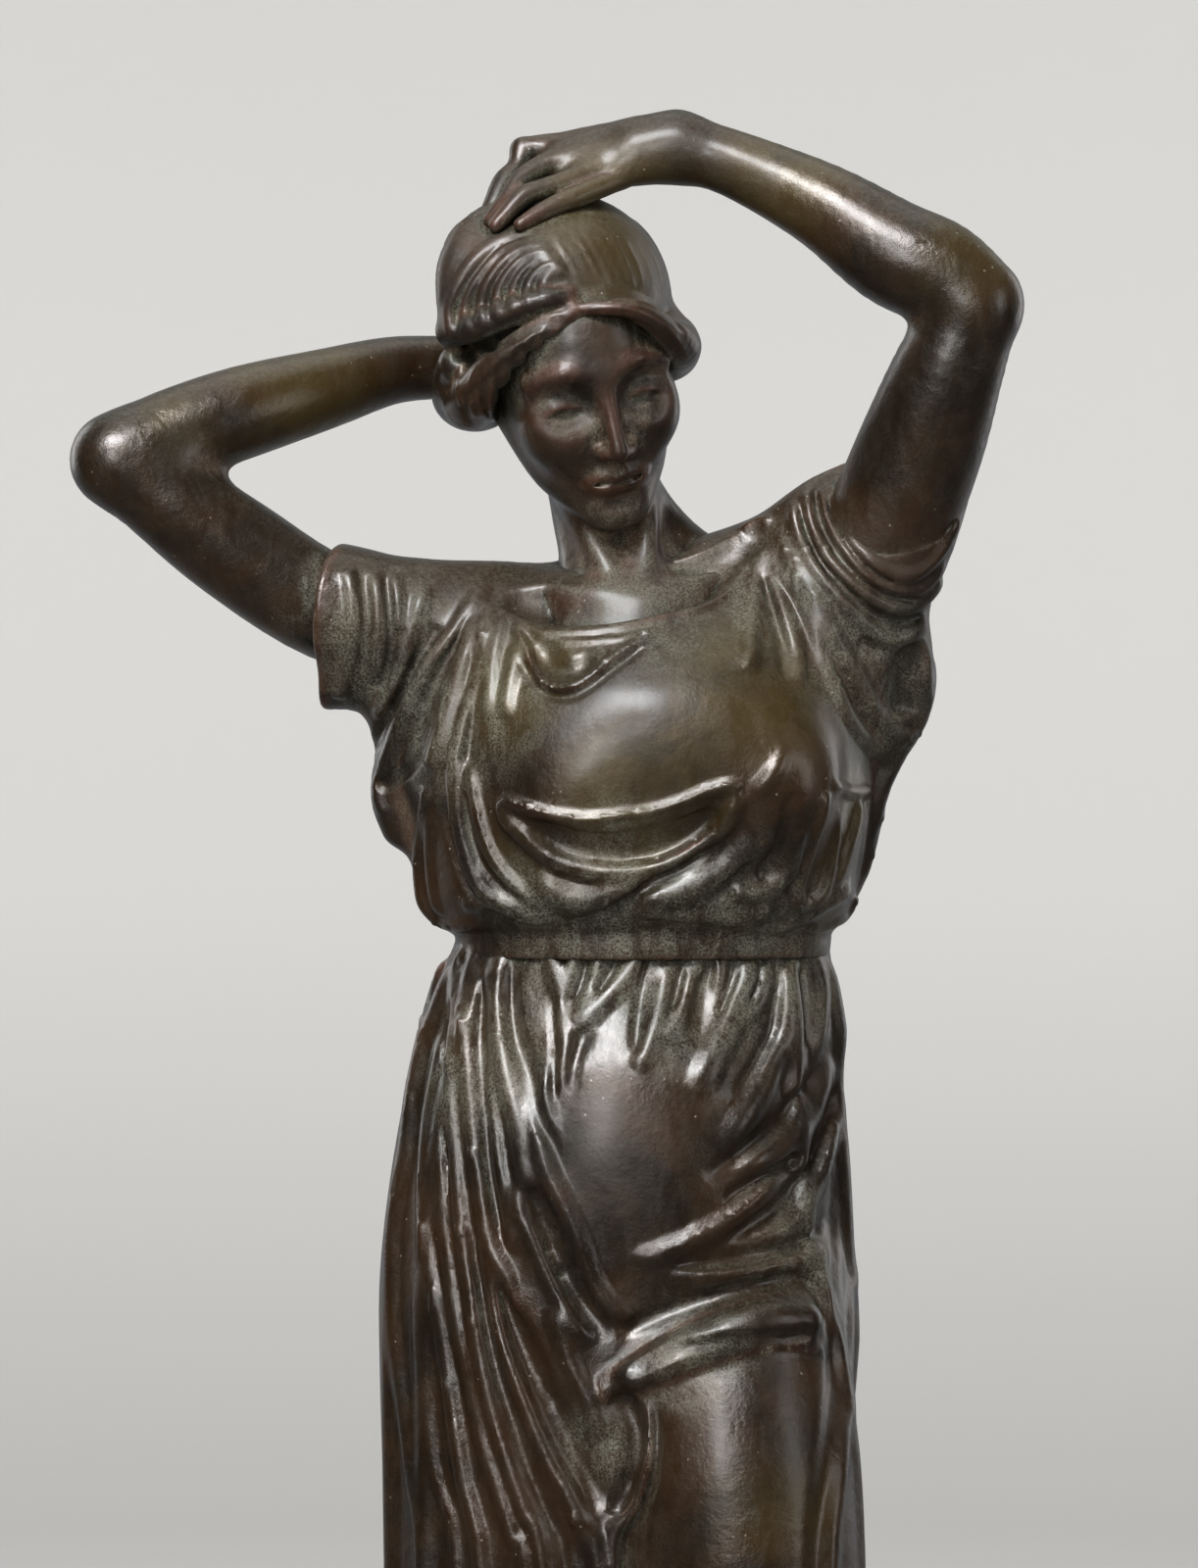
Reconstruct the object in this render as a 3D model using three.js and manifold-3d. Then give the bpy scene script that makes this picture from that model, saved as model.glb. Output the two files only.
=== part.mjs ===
// A bronze figure of a standing draped woman, cast in one with its low round base.
// One arm reaches behind the head and the other bends over it. Units are millimetres.
// x runs to the viewer's right, y away from the viewer, z up from the underside of the base.
import * as THREE from "three";
import Module from "manifold-3d";
import { mergeVertices } from "three/addons/utils/BufferGeometryUtils.js";

const { clamp, lerp, degToRad, smoothstep } = THREE.MathUtils;

// Driving dimensions
const BASE_RADIUS = 74;
const BASE_HEIGHT = 22;
const BASE_SIDES = 40;
const WAIST_Z = 376;
const BELT_HEIGHT = 7;
const VIEW_DISTANCE = 1500;
const EYE = [-7, -VIEW_DISTANCE, 415];
const CREST = 0.28;

// Smoothly rounded profile and spline helpers
const catmull = (a, b, c, d, t) =>
  0.5 * (2 * b + (c - a) * t + (2 * a - 5 * b + 4 * c - d) * t * t + (3 * b - a - 3 * c + d) * t ** 3);

// A smooth route through points of any number of coordinates, with steps samples to a span.
function route(points, steps) {
  const last = points.length - 1;
  const out = [];
  for (let i = 0; i < last; i++) {
    const [a, b, c, d] = [-1, 0, 1, 2].map((j) => points[clamp(i + j, 0, last)]);
    for (let s = 0; s < steps; s++) out.push(b.map((_, k) => catmull(a[k], b[k], c[k], d[k], s / steps)));
  }
  out.push(points[last]);
  return out;
}

// Distance fields: functions of x, y and z, negative inside the form.

// A round limb along a smooth route of [x, y, z, radius].
function cord(points, steps = 5) {
  const path = route(points, steps);
  const spans = path.slice(1).map((b, i) => {
    const a = path[i];
    const along = [b[0] - a[0], b[1] - a[1], b[2] - a[2]];
    return [...a, ...along, b[3] - a[3], along.reduce((sum, v) => sum + v * v, 1e-9)];
  });
  return (x, y, z) => {
    let best = Infinity;
    for (const [ax, ay, az, ar, dx, dy, dz, dr, square] of spans) {
      const [px, py, pz] = [x - ax, y - ay, z - az];
      const t = clamp((px * dx + py * dy + pz * dz) / square, 0, 1);
      const away = Math.sqrt((px - t * dx) ** 2 + (py - t * dy) ** 2 + (pz - t * dz) ** 2);
      best = Math.min(best, away - ar - t * dr);
    }
    return best;
  };
}

// An ellipsoid, turned by degrees about x, y and z.
function egg(centre, radii, turn = [0, 0, 0]) {
  const euler = new THREE.Euler(...turn.map(degToRad), "ZYX");
  const m = new THREE.Matrix4().makeRotationFromEuler(euler).elements;
  const [rx, ry, rz] = radii;
  return (x, y, z) => {
    const [px, py, pz] = [x - centre[0], y - centre[1], z - centre[2]];
    const u = (px * m[0] + py * m[1] + pz * m[2]) / rx;
    const v = (px * m[4] + py * m[5] + pz * m[6]) / ry;
    const w = (px * m[8] + py * m[9] + pz * m[10]) / rz;
    const k0 = Math.sqrt(u * u + v * v + w * w);
    const k1 = Math.sqrt((u / rx) ** 2 + (v / ry) ** 2 + (w / rz) ** 2);
    return (k0 * (k0 - 1)) / (k1 + 1e-9);
  };
}

// An upright trunk whose oval section runs through rows of [z, left, right, front, back].
function trunk(rows) {
  const path = route(rows, 8).sort((a, b) => a[0] - b[0]);
  const [low, high] = [path[0][0], path[path.length - 1][0]];
  const count = Math.ceil(high - low) + 1;
  const table = [];
  for (let i = 0, j = 0; i < count; i++) {
    const z = Math.min(low + i, high);
    while (j < path.length - 2 && path[j + 1][0] < z) j++;
    const t = (z - path[j][0]) / (path[j + 1][0] - path[j][0]);
    table.push(path[j].map((v, k) => lerp(v, path[j + 1][k], t)));
  }
  return (x, y, z) => {
    const f = clamp(z - low, 0, count - 1.001);
    const i = Math.floor(f);
    const [, left, right, front, back] = table[i].map((v, k) => v + (f - i) * (table[i + 1][k] - v));
    const rx = (right - left) / 2;
    const ry = (back - front) / 2;
    const u = (x - (left + right) / 2) / rx;
    const v = (y - (front + back) / 2) / ry;
    const k0 = Math.hypot(u, v);
    const k1 = Math.hypot(u / rx, v / ry);
    return Math.max((k0 * (k0 - 1)) / (k1 + 1e-9), z - high, low - z);
  };
}

// The side of a flat cut that its normal points away from.
function behind(point, normal) {
  const n = new THREE.Vector3(...normal).normalize();
  return (x, y, z) => (x - point[0]) * n.x + (y - point[1]) * n.y + (z - point[2]) * n.z;
}

function soften(a, b, k) {
  const h = Math.max(k - Math.abs(a - b), 0) / k;
  return Math.min(a, b) - (h * h * k) / 4;
}

// Joins [blend radius, field] pairs one after another.
function join(...parts) {
  return (x, y, z) => parts.reduce((d, [k, field]) => soften(d, field(x, y, z), k), Infinity);
}

// Takes [blend radius, field] pairs out of a form.
function hollow(form, ...tools) {
  return (x, y, z) => tools.reduce((d, [k, tool]) => -soften(-d, tool(x, y, z), k), form(x, y, z));
}

// What two forms share.
const both = (k, a, b) => (x, y, z) => -soften(-a(x, y, z), -b(x, y, z), k);

// The point where a straight line from outside first meets a form.
function landing(form, from, towards) {
  const start = new THREE.Vector3(...from);
  const way = new THREE.Vector3(...towards).sub(start);
  const reach = way.length() * 1.15;
  way.normalize();
  let [t, nearest, found] = [0, Infinity, 0];
  while (t < reach) {
    const d = form(start.x + way.x * t, start.y + way.y * t, start.z + way.z * t);
    if (d < nearest) [nearest, found] = [d, t];
    if (d < 0.05) break;
    t += Math.max(d * 0.7, 0.05);
  }
  return [start.addScaledVector(way, found).toArray(), way.negate().toArray()];
}

// Folds: ridges and valleys laid on a form along drawn paths.

// path holds [x, z] as seen from the front at y = 0, or round: true and [degrees, z] round the axis.
// wide is the half width, high the height, lean narrows one side, fade tapers the ends.
// The crest is rounded by CREST of the half width, and the flanks are hollow.
function fold(form, { path, wide, high, lean = 0, fade = 0.25, round = false, steps = 5 }) {
  const line = route(path, steps).map(([a, z]) => {
    const angle = degToRad(a);
    const rim = [200 * Math.sin(angle), -200 * Math.cos(angle), z];
    return round ? landing(form, rim, [0, 0, z]) : landing(form, EYE, [a, 0, z]);
  });
  const spans = line.slice(1).map(([b], i) => {
    const [a, out] = line[i];
    const along = new THREE.Vector3(b[0] - a[0], b[1] - a[1], b[2] - a[2]);
    const side = along.clone().cross(new THREE.Vector3(...out)).normalize();
    return { a, along, side, square: along.lengthSq() + 1e-9 };
  });
  const crests = line.map(([p]) => new THREE.Vector3(...p));
  const { min, max } = new THREE.Box3().setFromPoints(crests).expandByScalar(wide);
  const height = (x, y, z) => {
    if (x < min.x || x > max.x || y < min.y || y > max.y || z < min.z || z > max.z) return 0;
    let [best, where, offset] = [wide * wide, -1, 0];
    spans.forEach(({ a, along, side, square }, i) => {
      const [px, py, pz] = [x - a[0], y - a[1], z - a[2]];
      const t = clamp((px * along.x + py * along.y + pz * along.z) / square, 0, 1);
      const [ex, ey, ez] = [px - t * along.x, py - t * along.y, pz - t * along.z];
      const away = ex * ex + ey * ey + ez * ez;
      if (away < best) [best, where, offset] = [away, i + t, ex * side.x + ey * side.y + ez * side.z];
    });
    if (where < 0) return 0;
    const narrow = offset * lean > 0 ? 1 - Math.abs(lean) : 1;
    const u = Math.min(Math.sqrt(best) / (wide * narrow), 1);
    const flank = (Math.hypot(u, CREST) - CREST) / (Math.hypot(1, CREST) - CREST);
    const t = where / spans.length;
    const ends = smoothstep(t, 0, fade) * smoothstep(1 - t, 0, fade);
    return high * ends * (1 - flank) ** 2;
  };
  return height;
}

// Folds from rows of [half width, height, path, lean].
const folds = (form, fade, rows) => rows.map(([wide, high, path, lean]) => fold(form, { path, wide, high,
    lean, fade }));

// count folds spread evenly from one path to another.
function fan(form, { from, to, count, ...rest }) {
  return Array.from({ length: count }, (_, i) => {
    const t = count > 1 ? i / (count - 1) : 0;
    return fold(form, { ...rest, path: from.map((p, j) => p.map((v, k) => lerp(v, to[j][k], t))) });
  });
}

// A form with the heights of its folds raised and sunk.
const draped = (form, heights) => (x, y, z) => {
  const d = form(x, y, z);
  return Math.abs(d) > 9 ? d : d - heights.reduce((sum, height) => sum + height(x, y, z), 0);
};

// Skirt
const SKIRT_ROWS = [
  [20, -66, 66, -50, 52],
  [60, -64, 61, -49, 49],
  [110, -62, 56, -46, 46],
  [165, -60.5, 53.5, -44, 43],
  [215, -61.7, 51.6, -43, 43],
  [265, -63.2, 55.6, -42, 45],
  [290, -63.2, 56.3, -41, 46],
  [315, -60.5, 55.5, -40, 46],
  [340, -56, 53.5, -37, 42],
  [352, -52.5, 54.5, -34, 37],
  [366, -47, 52.5, -30, 32],
  [378, -43, 51, -28, 30],
];
const roll = cord([[-4, -42.5, 265, 3], [3, -43.5, 269, 4], [12, -44, 273.5, 4.8], [24, -43.5, 278.5, 5.6],
  [34, -40.5, 281, 6.2], [42.5, -36, 281, 6]]);
const skirtForm = join(
  [1, trunk(SKIRT_ROWS)],
  [14, egg([4, -24, 322], [30, 18, 34])],
  [12, egg([-22, 26, 290], [30, 24, 34])],
  [12, egg([22, 26, 290], [28, 24, 34])],
  [10, cord([[26, -13, 277, 28.5], [27, -23, 252, 29], [29, -27, 230, 28.5], [32, -31, 190, 26],
    [35, -30, 150, 23], [37, -28, 110, 20.5], [40, -24, 60, 19]])],
  [3.5, roll],
);

// Pleats that fall from the left hip over the standing leg, and the deeper valleys among them
const PLEATS = [
  [4, 3, [[-47, 374], [-52, 350], [-56.5, 315], [-59.5, 285], [-58.5, 255], [-54.5, 230], [-52, 215],
      [-51, 80], [-53, 24]]],
  [3.6, 3.4, [[-47.5, 358], [-51.5, 310], [-50, 290], [-46, 265], [-42, 238], [-37.5, 215], [-30, 80],
      [-30, 24]]],
  [3.4, 3, [[-47.5, 332], [-46, 296], [-43, 275], [-37, 248], [-28.5, 222], [-22, 150], [-19, 24]]],
  [3.4, 3.2, [[-43, 374], [-44.5, 345], [-44, 318], [-41.5, 295], [-37, 265], [-30, 240], [-22, 217],
      [-9, 80], [-8, 24]]],
  [3.6, 3.4, [[-39, 374], [-41.5, 350], [-38, 315], [-34, 290], [-26.5, 270]]],
  [4, 3, [[-38, 300], [-33, 281], [-27.5, 260], [-19.5, 237], [-7, 215], [-2, 150], [6, 24]]],
  [4.2, 3.8, [[-32, 374], [-33, 355], [-31, 335], [-27, 315], [-23.5, 306]]],
  [3.8, 3.6, [[-29, 315], [-22.5, 297], [-12.5, 277]]],
  [3.8, 3.4, [[-19.5, 283], [-13, 265], [-5.5, 247]]],
  [2.8, -2, [[-40, 306], [-36, 277], [-29, 253], [-16, 215]]],
  [2.6, -2.2, [[-40.5, 375], [-45, 350], [-45, 310]]],
  [2.6, -2.4, [[-36, 374], [-37, 345], [-31, 304]]],
  [3.6, -2.8, [[-29, 374], [-29.5, 350], [-22, 322], [-16, 304]]],
  [5.5, -5, [[-33, 293], [-28, 275], [-20, 253], [-8.5, 230], [-5.5, 222]]],
];

// The smooth panel over the belly, the folds that cross it from the hip on the right, and their hollows
const PANEL = [
  [5, 3.8, [[-22, 325], [-19, 314], [-12, 298], [-5, 284], [0, 280], [8, 277.5]], -0.3],
  [4.8, -4.4, [[-25, 314], [-19, 296], [-9.5, 279], [-4, 272]]],
  [4, 3, [[10, 371], [7, 352], [1, 342]]],
  [3.6, 3, [[17, 370], [13, 352], [8.5, 345]]],
  [5, 3.2, [[32, 373], [30, 363], [25, 351], [16, 336]]],
  [6, 3.6, [[40.5, 369], [40, 349.5], [35, 334], [22.5, 316]]],
  [6, 3.2, [[52.5, 346], [47.5, 332], [40, 322.5], [27, 315.5]]],
  [6, 4.3, [[41.5, 318], [32.5, 309], [17.5, 300], [0, 293]], 0.35],
  [5.5, 4.2, [[54, 335], [50, 318], [45, 308.5], [31, 298.5]], 0.3],
  [5.5, 4.2, [[5, 290], [25, 289], [40, 291.5], [53, 295.5]], 0.3],
  [3.8, -2.8, [[47, 343], [35, 328], [19, 314]]],
  [3.8, -3.4, [[52.5, 339], [46, 319], [33, 303.5], [24, 299]]],
  [4.2, -3, [[53, 307], [39, 296], [10, 290.5]]],
  [4.4, 4, [[3.5, 376], [-3, 363], [-9, 357], [-13, 350]]],
  [3.6, 3.4, [[-20.5, 376], [-18.5, 362], [-16, 348]]],
];

// Hollows round the roll of cloth and the raised thigh, and the long folds beside it and over the shin
const THIGH = [
  [3.8, -4.4, [[-3, 274.5], [11, 281], [30, 287], [46, 288], [50, 278]]],
  [3.2, -3, [[0, 264], [14, 271], [34, 274], [48, 275.5]]],
  [4.6, -4.6, [[-6, 264], [1.5, 253], [1.5, 240], [-5, 229]]],
  [3.8, 3, [[5, 259], [4, 238], [-3, 223], [-2, 205], [8, 175], [14, 110], [17, 40]]],
  [6, -1.6, [[49.5, 341], [52.5, 295], [52.5, 258], [48.5, 215], [49.5, 170], [52, 100], [57, 40]]],
  [5, 2, [[53.5, 350], [56.5, 291], [55, 242], [52, 215], [53, 165], [55, 100], [62, 30]]],
  [6, 2.6, [[23, 195], [25, 135], [27, 75], [27, 24]]],
  [6, 2.6, [[37, 205], [41, 150], [43, 90], [46, 24]]],
];
const GATHERS = { from: [[13, 373], [12, 366], [11, 358]], to: [[47, 373], [48, 364], [49, 354]] };
const SKIRT_FOLDS = [
  ...folds(skirtForm, 0.14, PLEATS),
  ...folds(skirtForm, 0.2, PANEL),
  ...folds(skirtForm, 0.14, THIGH),
  ...fan(skirtForm, { ...GATHERS, count: 5, wide: 3, high: 2, fade: 0.3 }),
  ...Array.from({ length: 13 }, (_, i) => 64 + i * 19.4).map((a, i) =>
    fold(skirtForm, {
      path: [[a, 373], [a + (i % 2 ? 3 : -2), 320], [a + (i % 3) * 2, 220], [a - 2, 110], [a, 24]],
      round: true, wide: 6, high: i % 2 ? 3.4 : 2.6, fade: 0.08, steps: 4,
    })),
];
const skirt = draped(skirtForm, SKIRT_FOLDS);

// Blouse with its short sleeves, bagging over the belt
const BLOUSE_ROWS = [
  [374, -40, 48, -26, 28],
  [378, -46, 53, -32, 33],
  [384, -50, 57, -37, 36],
  [392, -51.5, 58.5, -39, 37],
  [402, -53, 60, -40, 37],
  [415, -57, 61, -38, 36],
  [427, -58, 62, -36, 36],
  [440, -56, 62, -33, 35],
  [452, -50, 58, -28, 33],
  [460, -40, 50, -22, 30],
  [467, -26, 36, -14, 26],
  [471, -14, 24, -6, 20],
];
const sleeveLow = both(
  2,
  join(
    [1, cord([[-34, 6, 452, 17], [-52, 4, 454, 17], [-70, 2, 458, 17.5], [-84, 0, 462, 16.5]])],
    [8, cord([[-62, 4, 446, 12], [-76, 3, 441, 7], [-82, 3, 438, 5]])],
  ),
  behind([-76, 0, 457], [-1, 0.25, 0.12]),
);
const sleeveHigh = both(
  2,
  join(
    [1, cord([[36, 6, 458, 17], [52, 2, 462, 20], [64.5, -4, 476, 17.6], [73, -12, 500, 16.4]])],
    [6, cord([[24, 6, 468, 11], [38, 3, 475, 10], [48, -1, 482.5, 9.5], [56, -5, 489, 8.5]])],
    [10, cord([[54, 2, 452, 17], [64, 2, 448, 13]])],
  ),
  behind([52, -4, 492.8], [-0.05, -0.77, 0.635]),
);
const blouseForm = join(
  [1, trunk(BLOUSE_ROWS)],
  [14, egg([11, -22.5, 426], [39, 23.5, 24])],
  [14, egg([-12, -30, 413], [15, 11, 13])],
  [12, egg([38, -31, 414], [13, 11.5, 13.5])],
  [12, sleeveLow],
  [12, sleeveHigh],
  [8, cord([[-14, 8, 461, 10], [-34, 6, 459, 12], [-50, 4, 457, 13]])],
  [8, cord([[20, 8, 463, 10], [38, 6, 464, 13], [52, 3, 466, 15]])],
  [8, cord([[-56, 4, 442, 9], [-57.5, 2, 424, 7.2], [-59.5, 2, 412, 6], [-57, 2, 404.5, 6]])],
  [8, cord([[-49, 2, 398, 4], [-48.5, 2, 386, 4.5]])],
  [8, cord([[62, 6, 450, 11], [65.5, 4, 438, 10.3], [62, 6, 422, 7.5], [56, 6, 408, 7], [52, 6, 396, 6]])],
);

// The hanging pocket of cloth under the bust, and the folds between it and the belt
const POCKET = [
  [4, 3.5, [[-32, 412], [-21, 408], [-1.5, 407.5], [14, 411], [29.5, 414]], -0.45],
  [4.4, 4.3, [[-32, 412], [-25.5, 400.5], [-12, 393], [6, 393], [19.5, 400], [29.5, 413.5]]],
  [6.5, -4.1, [[-25.5, 406], [-17, 400.5], [-3.5, 398], [17.5, 403.5], [24.5, 409.5]]],
  [6, 3.8, [[-25.5, 392], [-14, 385], [-0.5, 388.5], [6, 390.5]]],
  [3.4, -3.5, [[-16, 378.5], [0.5, 386], [15, 395], [22.5, 402.5]]],
  [5.5, 3.8, [[2.5, 385], [17.5, 388], [28, 395.5], [33.5, 401.5]]],
  [4, 3.8, [[26.5, 387], [37, 388], [42.5, 395], [44.5, 404]], 0.3],
  [3, 2.2, [[1.5, 382.5], [19.5, 381], [36, 377.5], [50.5, 383]]],
  [3.8, 2.2, [[30.5, 411], [34.5, 414.5], [38, 419], [41, 425.5]]],
];

// The long edge that frames the bust on the left, the folds round it and those from the left shoulder
const LEFT_SIDE = [
  [4, 4.1, [[-35, 462.5], [-40.5, 435], [-44.5, 414.5], [-42, 397.5], [-32, 383.5], [-17.5, 381]], 0.35],
  [4.5, 2.7, [[-40, 420], [-36, 400.5], [-26.5, 387.5], [-19.5, 382]], -0.3],
  [3, -3, [[-46.5, 410], [-41.5, 391], [-37, 385]]],
  [3.2, 3, [[-50, 414.5], [-52, 397.5], [-50.5, 383.5], [-37, 379]]],
  [4.2, 3.5, [[-35.5, 468], [-50.5, 446], [-59.5, 425.5], [-63.5, 416]]],
  [4, 3.2, [[-37, 459], [-44.5, 439], [-50.5, 418.5]]],
  [3.6, 2.7, [[-31.5, 459], [-35, 440.5], [-35.5, 430.5]]],
  [2.8, -3, [[-48, 456], [-58, 438], [-66, 420]]],
  [2.8, -3, [[-38.5, 461], [-51.5, 435], [-54, 425]]],
  [3.4, -2.7, [[-37.5, 451.5], [-41, 419.5]]],
  [3, 2, [[-71.5, 470], [-70.5, 450.5], [-74, 436.5]]],
  [3, 2, [[-64.5, 470], [-63, 450], [-64, 443]]],
];

// Folds that spread from the knot on the right shoulder, the loose cloth below and the looped short sleeve
const RIGHT_SIDE = [
  [4, 3.2, [[33.5, 476.5], [32, 461], [31, 443]]],
  [3, 3, [[34.5, 476.5], [39, 461.5], [44, 439.5]]],
  [3, 3.2, [[36, 476.5], [44, 463], [51.5, 442.5], [54.5, 435]]],
  [4, 4.6, [[38, 479], [48.5, 461], [57, 444], [68.5, 427], [73, 427]]],
  [7, -6, [[73, 451.5], [71.5, 440], [70.5, 431.5]]],
  [3.2, 3, [[52.5, 492], [58, 476.5], [69, 468], [80.5, 475], [84, 482]]],
  [3.2, 3, [[45.5, 491], [51, 473], [64, 461.5], [77, 463]]],
  [3.4, 3.2, [[42, 488], [47.5, 470.5], [59.5, 456.5], [70, 451.5], [76, 456]]],
  [2.4, -2.4, [[47.5, 490.5], [53.5, 473.5], [66.5, 463], [73.5, 462]]],
  [2.4, -2.6, [[44, 488], [49.5, 471.5], [62, 459], [74, 457]]],
  [2.8, 3, [[51, 413.5], [46, 395.5], [45, 384], [51.5, 392], [53.5, 409.5]]],
  [4, 2.4, [[59.5, 412], [55, 394.5], [52.5, 388.5]]],
  [3.4, -2.7, [[42, 413.5], [37, 395.5], [33, 390.5]]],
  [2.6, 2, [[52, 415], [57.5, 413], [62.5, 413.5]]],
];

// The loose edge at the neck, with the small flap that hangs from it
const NECK_EDGE = [
  [2.6, 2, [[-32, 461], [-24.5, 454.5], [-9, 454], [10, 458], [23.5, 462.5], [31, 472.5]]],
  [3, 3.5, [[-28.5, 456], [-23.5, 444], [-16, 440], [-5, 446.5], [8, 454.5]], -0.5],
  [5, -3.2, [[-22.5, 451], [-14, 444], [-8.5, 448]]],
];
const BLOUSE_FOLDS = [
  ...folds(blouseForm, 0.12, POCKET),
  ...folds(blouseForm, 0.12, LEFT_SIDE),
  ...folds(blouseForm, 0.1, RIGHT_SIDE),
  ...folds(blouseForm, 0.08, NECK_EDGE),
  ...Array.from({ length: 9 }, (_, i) => 95 + i * 21).map((a, i) =>
    fold(blouseForm, {
      path: [[a, 450], [a + (i % 2 ? 5 : -4), 415], [a, 381]],
      round: true, wide: 5.5, high: 2.8, fade: 0.2,
    })),
];
const neckline = cord([[-26, -16, 464, 7], [-14, -18, 462, 9], [2, -18, 464, 11], [18, -16, 470, 9],
    [30, -10, 480, 7]]);
const blouse = hollow(draped(blouseForm, BLOUSE_FOLDS), [2, neckline]);

// Belt
const belt = trunk([
  [WAIST_Z - 5, -43.5, 51.5, -31.5, 32],
  [WAIST_Z - 5 + BELT_HEIGHT, -44, 52, -32, 32.5],
  [WAIST_Z + 6, -44, 52, -32, 32.5],
]);

// Head, in its own frame: x to its left cheek, y back, z up, with the eyes near z = 0
const HEAD_CENTRE = [-13, -4, 521.5];
const HEAD_TURN = [18, -13, 12];
const HEAD_SCALE = 1.06;
function inHead(field) {
  const euler = new THREE.Euler(...HEAD_TURN.map(degToRad), "ZYX");
  const m = new THREE.Matrix4().makeRotationFromEuler(euler).elements.map((v) => v / HEAD_SCALE);
  return (x, y, z) => {
    const [px, py, pz] = [x - HEAD_CENTRE[0], y - HEAD_CENTRE[1], z - HEAD_CENTRE[2]];
    return HEAD_SCALE * field(
      px * m[0] + py * m[1] + pz * m[2],
      px * m[4] + py * m[5] + pz * m[6],
      px * m[8] + py * m[9] + pz * m[10],
    );
  };
}
const mirrored = (field) => (x, y, z) => field(Math.abs(x), y, z);
const skull = join(
  [1, egg([0, 3.5, 7.5], [22.3, 29.8, 24.5])],
  [10, egg([0, -9, -8], [17.2, 17, 23.5])],
  [6, egg([0, -16.5, -21], [9.5, 9, 8.5])],
  [5, egg([0, -20, -31], [5.6, 5.4, 4.8])],
  [6, mirrored(cord([[4, -18.5, -29.5, 4], [11.6, -8.5, -22, 4.4], [15.8, 2, -9, 5]]))],
  [9, mirrored(egg([11, -18, -9.5], [7, 6.4, 7.5]))],
  [4, mirrored(cord([[3, -25.2, 4, 1.8], [9.5, -25, 5.6, 1.9], [16.3, -20, 3.4, 1.8]]))],
);
const nose = join(
  [1, cord([[0, -25.6, 5, 1.6], [0, -27.4, -1.5, 1.7], [0, -30.2, -10, 2], [0, -31.3, -13.6, 2.3]])],
  [2.5, mirrored(egg([2.9, -27.8, -14.4], [1.6, 2.6, 1.7]))],
  [1.5, cord([[0, -30.4, -15.2, 1], [0, -27.6, -16.6, 1.2]])],
);
const upperLip = mirrored(cord([[0, -25.7, -21, 1.2], [2.2, -25.8, -20.7, 1.4], [5, -24.7, -21.3, 1.1],
    [7.2, -23, -22.1, 0.6]]));
const lowerLip = mirrored(cord([[0, -25.2, -24, 1.8], [3.2, -24.7, -23.8, 1.6], [6.2, -23.4, -22.9, 0.8]]));
const socket = mirrored(egg([9.8, -29, -2.4], [7.2, 6.4, 5]));
const face = hollow(
  join([1, hollow(skull, [5, socket])], [3, nose], [2.5, upperLip], [2.5, lowerLip]),
  [3, egg([0, -27.6, -27.6], [4.6, 2.4, 1.3])],
);
const eye = mirrored(egg([9.6, -18.8, -4], [6.4, 5.6, 5.5]));
const head = inHead(join([1, face], [1, eye]));
const neck = join(
  [1, cord([[-11, 10, 510, 13.5], [-8, 8, 494, 13], [-6.5, 7, 484, 12.7], [-4, 6, 474, 13.5],
      [2, 6, 456, 18], [4, 8, 442, 24]])],
  [7, cord([[0, 10, 489, 8.5], [11, 9, 475.5, 9], [26, 9, 465, 9]])],
  [6, cord([[-19, 3, 499, 2.6], [-12, -5.5, 482, 2.3], [-3, -10.5, 466, 1.8]])],
  [6, cord([[4, 3, 497, 2.6], [5, -5, 482, 2.3], [4.5, -10.5, 466, 1.8]])],
);
const bust = egg([3, 4, 446], [33, 26, 21]);
const skin = join([1, head], [3.5, neck], [12, bust]);

// Hair, gathered up under the hands: the crown, the wave on the left with the twisted roll beneath it,
// the band on the right, and the knot behind
const hairForm = join(
  [1, hollow(egg([-17, 2, 538], [27.8, 34.2, 28]), [3, inHead(egg([0, -33, -13], [17, 24, 27]))])],
  [5, egg([-32, -12, 540], [15, 15, 15], [0, 0, -30])],
  [2.5, cord([[-15, -32.5, 536.5, 2.2], [-22, -32.5, 535, 3], [-31, -30, 532, 3.6], [-39, -25, 529, 3.4],
      [-45, -18, 528, 2.6]])],
  [1.5, cord([[-14.5, -33, 532, 2], [-20, -33, 529, 3], [-26.5, -31, 525, 3.6], [-33, -27, 519.5, 4.6],
      [-38, -20, 513.5, 5.6],
    [-40, -11, 511, 6.5]])],
  [3, cord([[-43, -14, 521, 5], [-42, -6, 519, 7]])],
  [2.5, cord([[-13, -33, 533.5, 1.8], [-3, -34, 534, 2.3], [4, -31, 532.5, 3], [9.5, -24, 528.5, 4],
      [12.3, -15, 526, 6],
    [10.5, -5, 526, 8]])],
  [4, egg([-39, 2, 514.5], [11, 15, 9.5])],
  [4, egg([7, 3, 527], [11, 14, 10])],
  [5, cord([[-30, -9, 561, 3], [-36.5, -12, 555, 5.5], [-41, -16, 547, 6.4], [-43, -19, 538, 5],
      [-44.5, -19, 531, 3]])],
  [8, egg([-15, 33, 521], [22, 15, 17])],
);
const HAIR_FOLDS = [
  ...fan(hairForm, {
    from: [[-22, 556.5], [-33, 554], [-41, 546], [-45.5, 536.5], [-45, 528]],
    to: [[-15, 546], [-18.5, 545.5], [-21, 543.5], [-21.5, 540], [-19, 536]],
    count: 4, wide: 3.2, high: 1.6, fade: 0.15,
  }),
];
const hair = draped(hairForm, HAIR_FOLDS);

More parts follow.
